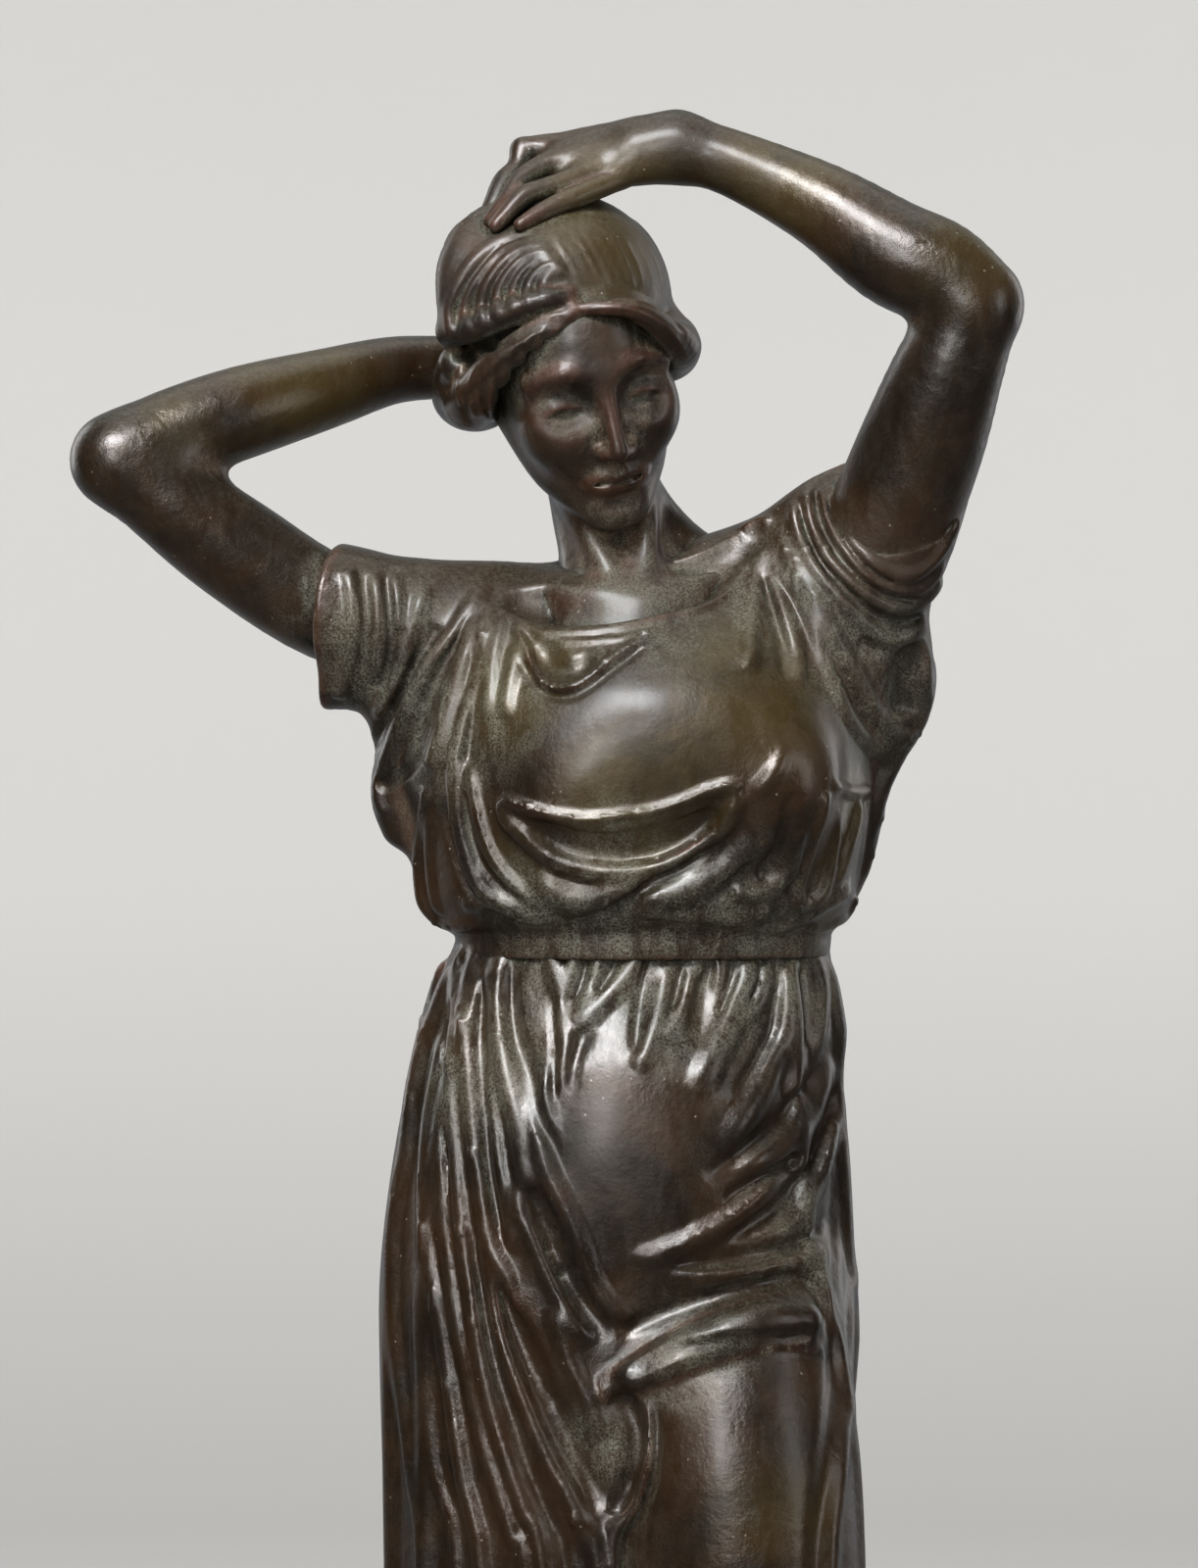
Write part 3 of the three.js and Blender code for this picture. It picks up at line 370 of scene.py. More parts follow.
SKIRT_ROWS = [
    [20, -66, 66, -50, 52],
    [60, -64, 61, -49, 49],
    [110, -62, 56, -46, 46],
    [165, -60.5, 53.5, -44, 43],
    [215, -61.7, 51.6, -43, 43],
    [265, -63.2, 55.6, -42, 45],
    [290, -63.2, 56.3, -41, 46],
    [315, -60.5, 55.5, -40, 46],
    [340, -56, 53.5, -37, 42],
    [352, -52.5, 54.5, -34, 37],
    [366, -47, 52.5, -30, 32],
    [378, -43, 51, -28, 30],
]
skirt_form = join(
    (1, trunk(SKIRT_ROWS)),
    (14, egg([4, -24, 322], [30, 18, 34])),
    (12, egg([-22, 26, 290], [30, 24, 34])),
    (12, egg([22, 26, 290], [28, 24, 34])),
    (10, cord([[26, -13, 277, 28.5], [27, -23, 252, 29], [29, -27, 230, 28.5], [32, -31, 190, 26],
               [35, -30, 150, 23], [37, -28, 110, 20.5], [40, -24, 60, 19]])),
    # The thick roll of cloth over the raised thigh
    (3.5, cord([[-4, -42.5, 265, 3], [3, -43.5, 269, 4], [12, -44, 273.5, 4.8], [24, -43.5, 278.5, 5.6],
                [34, -40.5, 281, 6.2], [42.5, -36, 281, 6]])),
)
SKIRT_FOLDS = [
    # Pleats that fall from the left hip over the standing leg
    Fold([[-47, 374], [-49, 364], [-52, 349], [-54.5, 335], [-56, 321], [-59, 305], [-59.5, 290],
          [-59, 272.5], [-57, 255], [-54.5, 235], [-52, 217.5], [-51, 150], [-51, 80], [-53, 24]],
         wide=4, high=3.6, fade=0.08),
    Fold([[-54, 292.5], [-53.5, 277.5], [-52, 265], [-50.5, 252.5], [-49, 240], [-46, 230], [-44, 220],
          [-42, 150], [-41, 80], [-42, 24]], wide=2.4, high=2.4, fade=0.15),
    Fold([[-47.5, 352.5], [-49, 340], [-51, 327.5], [-52, 310], [-51, 297.5], [-50, 290], [-48, 280],
          [-46, 265], [-44, 250], [-42, 237.5], [-39.5, 227.5], [-37.5, 215], [-33, 150], [-30, 80],
          [-30, 24]], wide=3.6, high=4, fade=0.1),
    Fold([[-47.5, 332.5], [-47, 317.5], [-47, 305], [-46, 296], [-45, 287.5], [-43, 275], [-40, 262.5],
          [-37, 247.5], [-33, 235], [-29, 222.5], [-26, 215], [-22, 150], [-19, 80], [-19, 24]],
         wide=3.2, high=3.6, fade=0.1),
    Fold([[-43, 374], [-43.5, 364], [-44.5, 350], [-45, 335], [-44, 320], [-43, 307.5], [-41.5, 295],
          [-40, 286], [-39, 277.5], [-37, 265], [-34, 252.5], [-30, 240], [-26, 229], [-22, 217.5],
          [-14, 150], [-9, 80], [-8, 24]], wide=3.4, high=3.8, fade=0.08),
    Fold([[-39, 374], [-40.5, 365], [-41.5, 356], [-41, 340], [-39.5, 325], [-38, 315], [-36, 301],
          [-34, 295], [-31, 289], [-29, 281], [-26.5, 275]], wide=3.6, high=4, fade=0.12),
    Fold([[-38, 301], [-35, 291], [-33, 281], [-31, 272], [-27.5, 261], [-23.5, 250], [-19.5, 241],
          [-14.5, 232.5], [-10, 224], [-7, 215], [-2, 150], [4, 80], [6, 24]], wide=3.8, high=3.6, fade=0.12),
    Fold([[-35.5, 345], [-35, 337.5], [-34, 330], [-33, 320], [-31, 309], [-29.5, 301], [-27.5, 295]],
         wide=3, high=3.2),
    Fold([[-32, 374], [-33, 364], [-33, 357.5], [-32, 345], [-30, 335], [-28, 327.5], [-26, 316],
          [-23.5, 311]], wide=4.2, high=4.6, fade=0.15),
    Fold([[-29, 315], [-27.5, 306], [-25, 301], [-22.5, 296], [-20, 290], [-17, 284], [-12.5, 277.5]],
         wide=3.8, high=4.4),
    Fold([[-19.5, 281], [-14.5, 277.5], [-8.5, 272]], wide=6.5, high=3.2, fade=0.4),
    Fold([[-19.5, 282.5], [-18, 277.5], [-15.5, 270], [-13, 264], [-10.5, 259], [-7.5, 252.5],
          [-5.5, 247.5]], wide=3.8, high=4),
    Fold([[-17, 239], [-15, 234], [-13, 227.5], [-10.5, 220], [-8, 215], [-4, 170], [1, 90], [1, 24]],
         wide=3, high=2.4, fade=0.15),
    # The valleys between them
    Fold([[-40, 306], [-38, 290], [-36, 277.5], [-33, 265], [-29, 252.5], [-25, 240], [-20, 227.5],
          [-16, 215], [-10, 150]], wide=2.8, high=-2.4),
    Fold([[-40.5, 375], [-43, 367.5], [-45, 355], [-46, 345], [-46, 325], [-45, 305]], wide=2.4, high=-2.4),
    Fold([[-36, 372.5], [-37.5, 352.5], [-36, 332.5], [-35, 315], [-31, 297.5]], wide=2.6, high=-2.6),
    Fold([[-29, 372.5], [-30, 362.5], [-29, 352.5], [-24.5, 340], [-22, 329], [-19.5, 323], [-16, 315]],
         wide=3.6, high=-3.4, fade=0.25),
    Fold([[-33, 292.5], [-31.5, 284], [-28, 274], [-22, 261], [-17, 251], [-12.5, 242.5], [-8.5, 235],
          [-5.5, 229]], wide=5.5, high=-6),
    # Edge of the smooth panel over the belly, with its deep hollow
    Fold([[-20, 345], [-22, 332.5], [-21, 322.5], [-18.5, 314]], wide=6, high=2.6, fade=0.35),
    Fold([[-23, 327.5], [-21.5, 320], [-19, 314], [-16, 308.5], [-12, 299.5], [-9, 290.5], [-5, 283.5],
          [0, 280], [8, 277.5]], wide=5, high=4.4, lean=-0.3, fade=0.25),
    Fold([[-25, 314], [-22, 305.5], [-19, 296], [-14.5, 287], [-9.5, 279], [-4, 272.5]],
         wide=4.8, high=-5.2, fade=0.3),
    # Soft folds that cross the belly from the hip on the right
    Fold([[10.5, 370], [9, 360], [7, 352.5], [4.5, 345.5], [1, 342]], wide=3.8, high=2.6, fade=0.22),
    Fold([[17, 369], [15, 360], [12.5, 354], [8.5, 348.5]], wide=3.6, high=2.6, fade=0.22),
    Fold([[32, 372], [31, 365], [27.5, 359], [25.5, 352.5], [22.5, 347], [19.5, 341], [16, 335.5]],
         wide=5, high=3.3),
    Fold([[36, 370], [35.5, 364], [34, 359.5], [30, 355], [26.5, 350], [23, 342.5], [20, 334]],
         wide=3.4, high=2.3),
    Fold([[41, 367.5], [41, 357.5], [40, 349.5], [37, 344], [35, 338], [32, 333], [28, 327.5], [22.5, 321]],
         wide=6, high=3.6, fade=0.18),
    Fold([[52.5, 346], [50, 339], [47.5, 332.5], [44.5, 327], [40, 322.5], [34, 319], [27, 316]],
         wide=6, high=3.3),
    Fold([[41.5, 318], [36, 313], [32.5, 310], [29, 307], [24, 303.5], [17.5, 300], [12.5, 297.5], [6, 295],
          [0, 293]], wide=6, high=4.3, lean=0.35),
    Fold([[54, 335], [52, 325], [50, 318], [48, 313], [45, 308], [42, 304], [37.5, 301], [31, 298.5]],
         wide=5.5, high=4.2, lean=0.3),
    Fold([[5, 290], [15, 289], [25, 289], [32.5, 290], [40, 292], [47.5, 293.5], [53, 296]],
         wide=5.5, high=4, lean=0.3),
    Fold([[20.5, 371], [19, 360], [18, 347.5]], wide=4.4, high=-2.4, fade=0.3),
    Fold([[38, 371], [38.5, 362.5], [37, 352.5], [32, 342.5], [27, 335]], wide=3, high=-2, fade=0.25),
    Fold([[47, 343], [41.5, 333], [35, 326], [26.5, 319], [19, 314]], wide=3.8, high=-2.4, fade=0.22),
    Fold([[45.5, 322.5], [39, 317.5], [32, 313], [24, 308.5]], wide=3.4, high=-2.3, fade=0.25),
    Fold([[52.5, 339], [50, 327.5], [46, 317.5], [40, 309.5], [33, 303.5], [24, 299]], wide=3.8, high=-2.9),
    Fold([[53, 307], [46.5, 299.5], [39, 296], [30, 294], [20, 292.5], [10, 291]],
         wide=4.2, high=-2.6, fade=0.22),
    # The hollows above and under the roll of cloth on the raised thigh, and round the thigh
    Fold([[-3, 274.5], [4, 278], [11, 281], [20, 284], [30, 287], [40, 289], [46, 288], [49.5, 284],
          [50, 278]], wide=3.6, high=-4.6, fade=0.12),
    Fold([[0, 264], [6, 268], [14, 271], [24, 273], [34, 274], [42, 274], [48, 275.5]],
         wide=3, high=-3, fade=0.15),
    Fold([[8, 268], [16, 272], [23.5, 274], [33, 274.5], [40, 273.5], [47, 272], [52.5, 269]],
         wide=3.4, high=1),
    Fold([[-6, 264.5], [-2, 258], [1.5, 253], [2.5, 246.5], [1.5, 239.5], [-2, 232], [-5, 230]],
         wide=4.6, high=-5.6, fade=0.15),
    Fold([[5, 259], [5.5, 245], [4, 237.5], [2, 231], [-0.5, 227.5], [-3, 224], [-3, 219], [-2, 205],
          [8, 175], [14, 110], [17, 40]], wide=3.8, high=3.6, fade=0.12),
    Fold([[7, 259], [7, 247.5], [6, 237.5], [3, 229], [0, 223.5], [-1, 217.5], [2, 200], [10, 150],
          [15, 80]], wide=3, high=-3.2, fade=0.15),
    Fold([[49.5, 341], [52, 320], [52.5, 295], [52.5, 279], [52.5, 258], [50.5, 237], [48.5, 215],
          [49.5, 170], [52, 100], [57, 40]], wide=6, high=-1.3),
    Fold([[53.5, 350], [56, 320.5], [56.5, 291], [56.5, 270], [55, 242], [52, 215], [53, 165], [55, 100],
          [62, 30]], wide=5, high=1.8, fade=0.1),
    # Plainer folds over the shin
    Fold([[23, 195], [25, 135], [27, 75], [27, 24]], wide=6, high=2.4, fade=0.3),
    Fold([[37, 205], [41, 150], [43, 90], [46, 24]], wide=6, high=2.6, fade=0.3),
    Fold([[31, 130], [34, 75], [36, 24]], wide=5, high=-2.2, fade=0.3),
    # Gathers under the belt
    Fold([[-41.5, 373.5], [-43.5, 366], [-45, 358]], wide=3.4, high=1.3, fade=0.22),
    Fold([[-20.5, 375], [-18.5, 367], [-17, 359], [-16, 349]], wide=4, high=2.4),
    Fold([[-13, 374.5], [-14.5, 367.5], [-16, 359.5]], wide=3.4, high=2, fade=0.22),
    Fold([[-7, 372.5], [-8, 366], [-11, 359.5], [-14, 353]], wide=3.6, high=2.3),
    Fold([[3.5, 375.5], [2, 369], [-3, 363], [-9, 357], [-13, 351]], wide=4.9, high=2.9),
    Fold([[-16, 355], [-15.5, 345], [-15, 334]], wide=6.7, high=1.7, fade=0.4),
    Fold([[14, 373], [13, 367]], wide=2.5, high=1.1, fade=0.25),
    Fold([[18, 373.5], [19, 364.5]], wide=2.9, high=1.9, fade=0.25),
    Fold([[24, 372.5], [23, 362]], wide=3.1, high=1.3, fade=0.25),
    Fold([[42, 371], [42, 362]], wide=2.9, high=1.4, fade=0.25),
    Fold([[48, 372], [50, 362.5], [49.5, 352.5], [47, 343.5]], wide=3.8, high=1.6, fade=0.22),
    Fold([[-16, 375], [-15.5, 368]], wide=1.9, high=-1.6, fade=0.3),
    Fold([[-10, 374], [-11, 367], [-13.5, 359.5]], wide=2.1, high=-1.7, fade=0.25),
    Fold([[-1.5, 374.5], [-4, 367.5], [-9, 360]], wide=2.1, high=-2, fade=0.25),
    Fold([[-19, 365], [-18.5, 355], [-18.5, 344], [-19, 332.5]], wide=2.4, high=-1.6, fade=0.25),
    Fold([[-8.5, 355], [-12, 349.5], [-14, 342], [-14, 334.5]], wide=3.7, high=-1.7, fade=0.3),
    Fold([[5, 374], [4, 365], [2.5, 355], [2, 346]], wide=2.2, high=-1.7),
    Fold([[14, 372], [13, 364], [10.5, 356]], wide=1.9, high=-1.6, fade=0.25),
    Fold([[28, 372], [26, 362.5], [23, 354.5]], wide=2.2, high=-1.5, fade=0.25),
    Fold([[34, 372], [33, 364], [30, 358.5]], wide=1.8, high=-1.5, fade=0.25),
    Fold([[44, 369], [45, 357.5], [45.5, 347]], wide=2.4, high=-1.6, fade=0.25),
    # Plainer folds round the back
    *[Fold([[64 + i * 19.4, 373], [64 + i * 19.4 + (3 if i % 2 else -2), 320],
            [64 + i * 19.4 + i % 3 * 2, 220], [62 + i * 19.4, 110], [64 + i * 19.4, 24]],
           wide=6, high=3.4 if i % 2 else 2.6, round=True, fade=0.08, steps=4) for i in range(13)],
]

# Blouse with its short sleeves, bagging over the belt

BLOUSE_ROWS = [
    [374, -40, 48, -26, 28],
    [378, -46, 53, -32, 33],
    [384, -50, 57, -37, 36],
    [392, -51.5, 58.5, -39, 37],
    [402, -53, 60, -40, 37],
    [415, -57, 61, -38, 36],
    [427, -58, 62, -36, 36],
    [440, -56, 62, -33, 35],
    [452, -50, 58, -28, 33],
    [460, -40, 50, -22, 30],
    [467, -26, 36, -14, 26],
    [471, -14, 24, -6, 20],
]
sleeve_low = both(
    2,
    join(
        (1, cord([[-34, 6, 452, 17], [-52, 4, 454, 17], [-70, 2, 458, 17.5], [-84, 0, 462, 16.5]])),
        (8, cord([[-62, 4, 446, 12], [-76, 3, 441, 7], [-82, 3, 438, 5]])),
    ),
    behind([-76, 0, 457], [-1, 0.25, 0.12]),
)
sleeve_high = both(
    2,
    join(
        (1, cord([[36, 6, 458, 17], [52, 2, 462, 20], [64.5, -4, 476, 17.6], [73, -12, 500, 16.4]])),
        (6, cord([[24, 6, 468, 11], [38, 3, 475, 10], [48, -1, 482.5, 9.5], [56, -5, 489, 8.5]])),
        (10, cord([[54, 2, 452, 17], [64, 2, 448, 13]])),
    ),
    behind([52, -4, 492.8], [-0.05, -0.77, 0.635]),
)
sleeve_low.box = (np.array([-90, -20, 430]), np.array([-15, 25, 480]))
sleeve_high.box = (np.array([13, -32, 430]), np.array([95, 25, 520]))
blouse_form = join(
    (1, trunk(BLOUSE_ROWS)),
    (14, egg([11, -22.5, 426], [39, 23.5, 24])),
    (14, egg([-12, -30, 413], [15, 11, 13])),
    (12, egg([38, -31, 414], [13, 11.5, 13.5])),
    (12, sleeve_low),
    (12, sleeve_high),
    (8, cord([[-14, 8, 461, 10], [-34, 6, 459, 12], [-50, 4, 457, 13]])),
    (8, cord([[20, 8, 463, 10], [38, 6, 464, 13], [52, 3, 466, 15]])),
    (8, cord([[-56, 4, 442, 9], [-57.5, 2, 424, 7.2], [-59.5, 2, 412, 6], [-57, 2, 404.5, 6]])),
    (8, cord([[-49, 2, 398, 4], [-48.5, 2, 386, 4.5]])),
    (8, cord([[62, 6, 450, 11], [65.5, 4, 438, 10.3], [62, 6, 422, 7.5], [56, 6, 408, 7], [52, 6, 396, 6]])),
)
BLOUSE_FOLDS = [
    # The hanging pocket of cloth under the bust
    Fold([[-32, 412], [-28.5, 410.5], [-21, 408], [-11, 406.5], [-1.5, 407.5], [6, 408.5], [14, 411],
          [19.5, 413.5], [25.5, 415], [29.5, 414]], wide=4, high=3.5, lean=-0.45, fade=0.08),
    Fold([[-18, 404.5], [-9, 403.5], [-1.5, 404], [5, 405], [12, 407], [17.5, 408.5], [22.5, 409.5]],
          wide=2, high=1.2, fade=0.15),
    Fold([[-32, 412], [-31, 406], [-25.5, 400.5], [-19, 395.5], [-12, 393], [-3.5, 392], [6, 393],
          [14, 396], [19.5, 400], [25.5, 405.5], [29.5, 413.5]], wide=4, high=4.9, lean=0.2, fade=0.07),
    Fold([[-25.5, 406], [-17, 400.5], [-3.5, 398], [8, 399], [17.5, 403.5], [24.5, 409.5]],
          wide=6.5, high=-4.1),
    Fold([[-25.5, 392.5], [-20, 388], [-14, 385], [-7.5, 385.5], [-0.5, 388.5], [6, 390.5]],
          wide=6, high=3.8),
    Fold([[-16, 378.5], [-8.5, 381], [0.5, 386], [8, 391], [15, 395], [22.5, 402.5]],
          wide=3.4, high=-3.5, fade=0.15),
    # Folds that cross to the right above the belt
    Fold([[2.5, 385], [10, 385.5], [17.5, 388], [23.5, 391.5], [28, 395.5], [33.5, 401.5]],
          wide=5.5, high=3.8, fade=0.15),
    Fold([[21.5, 384.5], [24, 388.5], [27.5, 392.5], [31.5, 398]], wide=3, high=-2.4),
    Fold([[26.5, 387], [31, 386.5], [37, 388], [40.5, 391], [42.5, 395], [44.5, 404]],
          wide=4, high=3.8, lean=0.3, fade=0.12),
    Fold([[27.5, 381], [33.5, 381], [37, 383]], wide=4, high=2.4, fade=0.3),
    Fold([[1.5, 382.5], [10, 381.5], [19.5, 381], [27.5, 379.5], [36, 377.5], [43.5, 380], [50.5, 383]],
          wide=3, high=2.2, fade=0.12),
    Fold([[30.5, 411], [34.5, 414.5], [38, 419], [41, 425.5]], wide=3.6, high=2, fade=0.45),
    # The long edge that frames the bust on the left, and the folds outside it
    Fold([[-35, 462.5], [-37.5, 450], [-40.5, 435], [-44, 422.5], [-44.5, 414.5], [-44, 407], [-42, 397.5],
          [-38.5, 388], [-32, 383.5], [-24, 380.5], [-17.5, 381]], wide=4, high=4.1, lean=0.35, fade=0.08),
    Fold([[-40, 420], [-38.5, 410], [-36, 400.5], [-32, 393], [-26.5, 387.5], [-19.5, 382]],
          wide=4.5, high=2.7, lean=-0.3, fade=0.15),
    Fold([[-41, 414.5], [-40, 404], [-37, 395], [-30.5, 388], [-23, 384]], wide=2.4, high=-2.2),
    Fold([[-46.5, 410], [-44.5, 400], [-41.5, 391], [-37, 385]], wide=3, high=-3),
    Fold([[-51, 414.5], [-52, 407], [-53, 397.5], [-53, 389.5], [-51.5, 383.5], [-46, 379], [-37, 379]],
          wide=3.2, high=3.5, fade=0.08),
    Fold([[-50, 410], [-50.5, 399], [-49.5, 387.5], [-47.5, 381]], wide=4, high=2.4),
    Fold([[-42.5, 384], [-38.5, 384], [-35.5, 382]], wide=3, high=1.6, fade=0.3),
    # Folds that fall from the left shoulder
    Fold([[-35.5, 468], [-43, 454], [-50.5, 446], [-56, 435], [-59.5, 425.5], [-63.5, 416]],
          wide=4.2, high=3.5, fade=0.12),
    Fold([[-37, 459], [-44.5, 439], [-48.5, 425.5], [-50.5, 418.5]], wide=4, high=3.2, fade=0.15),
    Fold([[-31.5, 459], [-34, 449], [-35, 440.5], [-35.5, 430.5]], wide=3.6, high=2.7),
    Fold([[-27.5, 451.5], [-30, 441], [-31.5, 431]], wide=3.6, high=2.7, fade=0.25),
    Fold([[-48, 456], [-51.5, 450], [-58, 438], [-63.5, 428.5], [-66.5, 418.5]],
          wide=2.8, high=-3, fade=0.15),
    Fold([[-38.5, 461], [-46, 447.5], [-51.5, 435], [-54, 425]], wide=2.8, high=-3, fade=0.15),
    Fold([[-37.5, 451.5], [-39.5, 438], [-40.5, 429], [-41, 419.5]], wide=3.4, high=-2.7, fade=0.15),
    Fold([[-51.5, 466], [-53.5, 458.5], [-56.5, 450], [-59, 441], [-62, 435], [-64, 430.5]],
          wide=3.4, high=2.4, fade=0.15),
    Fold([[-64, 416], [-61.5, 414.5], [-57, 418], [-51.5, 422.5]], wide=2.4, high=-1.9, fade=0.25),
    Fold([[-63.5, 419], [-64, 412], [-61.5, 406]], wide=3, high=1.4, fade=0.3),
    # Short sleeve on the left
    Fold([[-71.5, 470], [-70, 461.5], [-70.5, 450.5], [-71.5, 445], [-74, 436.5]],
          wide=3, high=2.2, fade=0.06),
    Fold([[-64.5, 470], [-63.5, 460], [-63, 450], [-64, 443]], wide=3, high=2),
    Fold([[-59.5, 469.5], [-58.5, 459], [-58, 454]], wide=3, high=1.9),
    Fold([[-67.5, 469.5], [-66.5, 460], [-67, 450], [-69, 441]], wide=2.4, high=-1.6),
    Fold([[-61.5, 468], [-60.5, 459], [-60.5, 449], [-62.5, 438]], wide=2.4, high=-1.6),
    # Folds that spread from the knot on the right shoulder
    Fold([[33.5, 476.5], [33, 469.5], [32, 461], [31.5, 452.5], [31, 443]], wide=4, high=3.2, fade=0.15),
    Fold([[34.5, 476.5], [36, 469], [39, 461.5], [41.5, 454.5], [43.5, 448], [44, 439.5]],
          wide=3, high=3, fade=0.12),
    Fold([[36, 476.5], [39, 469.5], [44, 463], [47.5, 456], [49.5, 449.5], [51.5, 442.5], [54.5, 435]],
          wide=3, high=3.2, fade=0.12),
    Fold([[38, 476.5], [45, 467], [50, 456.5], [54.5, 449], [59.5, 441]], wide=3.4, high=2.2),
    Fold([[38, 479], [43, 470.5], [48.5, 461], [53.5, 450], [57, 444], [60.5, 437.5], [63.5, 431.5],
          [68.5, 427], [73, 427]], wide=4, high=4.6, fade=0.1),
    Fold([[66, 428.5], [71, 427], [74.5, 430], [76.5, 437], [76.5, 446], [75, 453]], wide=3, high=1.8),
    Fold([[34.5, 469], [37, 460], [39, 451.5], [40.5, 441]], wide=2.6, high=-2),
    Fold([[51, 445.5], [54.5, 436], [58.5, 429], [64, 424], [69, 422]], wide=4, high=2.7),
    Fold([[73.5, 451.5], [72, 444.5], [71.5, 437], [70.5, 431.5]], wide=7, high=-6.1, fade=0.25),
    Fold([[30, 479], [33, 481], [36, 480.5]], wide=4.4, high=2.7, fade=0.25),
    # Short sleeve on the right, looped round the raised arm
    Fold([[52.5, 492], [53.5, 485], [58, 476.5], [64, 470.5], [69, 468], [74.5, 469], [80.5, 475],
          [84.5, 483.5]], wide=3.2, high=3, fade=0.06),
    Fold([[50, 491], [51, 483.5], [55.5, 475], [61.5, 468], [68.5, 464.5], [75.5, 465], [81.5, 471.5]],
          wide=2.8, high=2.2, fade=0.1),
    Fold([[45.5, 491], [47, 481.5], [51, 473], [57, 467], [64, 461.5], [71, 459.5], [77, 463],
          [80.5, 468]], wide=3.2, high=3, fade=0.1),
    Fold([[42, 488], [43.5, 480], [47.5, 470.5], [53.5, 463.5], [59.5, 456.5], [65.5, 452], [70, 451.5],
          [73.5, 454], [76.5, 457]], wide=3.4, high=3.2, fade=0.1),
    Fold([[42.5, 479], [47, 471], [52.5, 464.5]], wide=2.6, high=1.6),
    Fold([[51.5, 490.5], [52, 484], [56.5, 475.5], [63, 469], [69, 466]], wide=2, high=-1.9, fade=0.15),
    Fold([[47.5, 490.5], [49, 482], [53.5, 473.5], [59.5, 467], [66.5, 463], [73.5, 462]],
          wide=2.2, high=-2.4, fade=0.15),
    Fold([[44, 488], [45.5, 480], [49.5, 471.5], [55.5, 464.5], [62, 459], [69, 456], [75, 458]],
          wide=2.4, high=-2.6, fade=0.15),
    Fold([[59, 452], [62, 450], [65.5, 449]], wide=3, high=-2.4, fade=0.3),
    # Loose cloth under the right arm
    Fold([[52, 415], [57.5, 413], [62.5, 413.5]], wide=2.6, high=2, fade=0.3),
    Fold([[51, 413.5], [49.5, 406], [46, 395.5], [43.5, 388], [45, 384], [49.5, 386.5], [51.5, 392],
          [53, 401.5], [53.5, 409.5]], wide=2.8, high=3, fade=0.1),
    Fold([[59.5, 412], [58, 403.5], [55, 394.5], [52.5, 388.5]], wide=4, high=2.4, fade=0.25),
    Fold([[64, 410], [62, 400], [59, 390.5]], wide=4, high=2.4, fade=0.25),
    Fold([[57.5, 388.5], [51.5, 384.5], [45.5, 381.5]], wide=3, high=2.2),
    Fold([[59.5, 387], [55.5, 381], [49.5, 378], [45.5, 378.5]], wide=3, high=2.2, fade=0.15),
    Fold([[42, 413.5], [40.5, 403.5], [37, 395.5], [33, 390.5]], wide=3.4, high=-2.7),
    # The loose edge at the neck
    Fold([[-32, 461], [-28.5, 457.5], [-24.5, 454.5], [-18, 453.5], [-9, 454], [0.5, 455.5], [10, 458],
          [17.5, 459.5], [23.5, 462.5], [27.5, 467], [31, 472.5]], wide=2.6, high=2, fade=0.05),
    Fold([[-24.5, 453.5], [-18, 451.5], [-9, 451.5], [0.5, 452.5], [9, 454.5]], wide=2, high=1.1),
    Fold([[-28.5, 456], [-25.5, 450], [-23.5, 444], [-20.5, 440.5], [-16, 440], [-11, 441.5], [-5, 446.5],
          [1.5, 451], [8, 454.5]], wide=3, high=3.5, lean=-0.5, fade=0.08),
    Fold([[-26, 447], [-23.5, 441.5], [-19.5, 438], [-14, 438], [-9, 441], [-3, 445.5], [4, 450.5]],
          wide=2.6, high=-2.7, fade=0.12),
    Fold([[-22.5, 451], [-19.5, 446], [-14, 444], [-8.5, 448]], wide=5, high=-3.2, fade=0.25),
    # Plainer folds round the back
    *[Fold([[95 + i * 21, 450], [95 + i * 21 + (5 if i % 2 else -4), 415], [95 + i * 21, 381]],
           wide=5.5, high=2.8, round=True) for i in range(9)],
]
blouse_folded = draped(blouse_form, BLOUSE_FOLDS)
neckline = cord([[-26, -16, 464, 7], [-14, -18, 462, 9], [2, -18, 464, 11], [18, -16, 470, 9],
                 [30, -10, 480, 7]])
belt = trunk([
    [WAIST_Z - 5, -43.5, 51.5, -31.5, 32],
    [WAIST_Z, -44, 52, -32, 32.5],
    [WAIST_Z + 6, -44, 52, -32, 32.5],
])
blouse = join((1, hollow(blouse_folded, (2, neckline))), (0.5, belt))

# Head and neck. The head has a frame of its own: x to its left cheek, y back and z up from the eyes.

HEAD = ([-13, -4, 521.5], [18, -13, 12], 1.06)
skull = join(
    (1, egg([0, 3.5, 7.5], [22.3, 29.8, 24.5])),
    (10, egg([0, -9, -8], [17.2, 17, 23.5])),
    (6, egg([0, -16.5, -21], [9.5, 9, 8.5])),
    (5, egg([0, -20, -31], [5.6, 5.4, 4.8])),
    (6, mirrored(cord([[4, -18.5, -29.5, 4], [11.6, -8.5, -22, 4.4], [15.8, 2, -9, 5]]))),
    (9, mirrored(egg([11, -18, -9.5], [7, 6.4, 7.5]))),
    (4, mirrored(cord([[3, -25.2, 4, 1.8], [9.5, -25, 5.6, 1.9], [16.3, -20, 3.4, 1.8]]))),
)
nose = join(
    (1, cord([[0, -25.6, 5, 1.6], [0, -27.4, -1.5, 1.7], [0, -30.2, -10, 2], [0, -31.3, -13.6, 2.3]])),
    (2.5, mirrored(egg([2.9, -27.8, -14.4], [1.6, 2.6, 1.7]))),
    (1.5, cord([[0, -30.4, -15.2, 1], [0, -27.6, -16.6, 1.2]])),
)
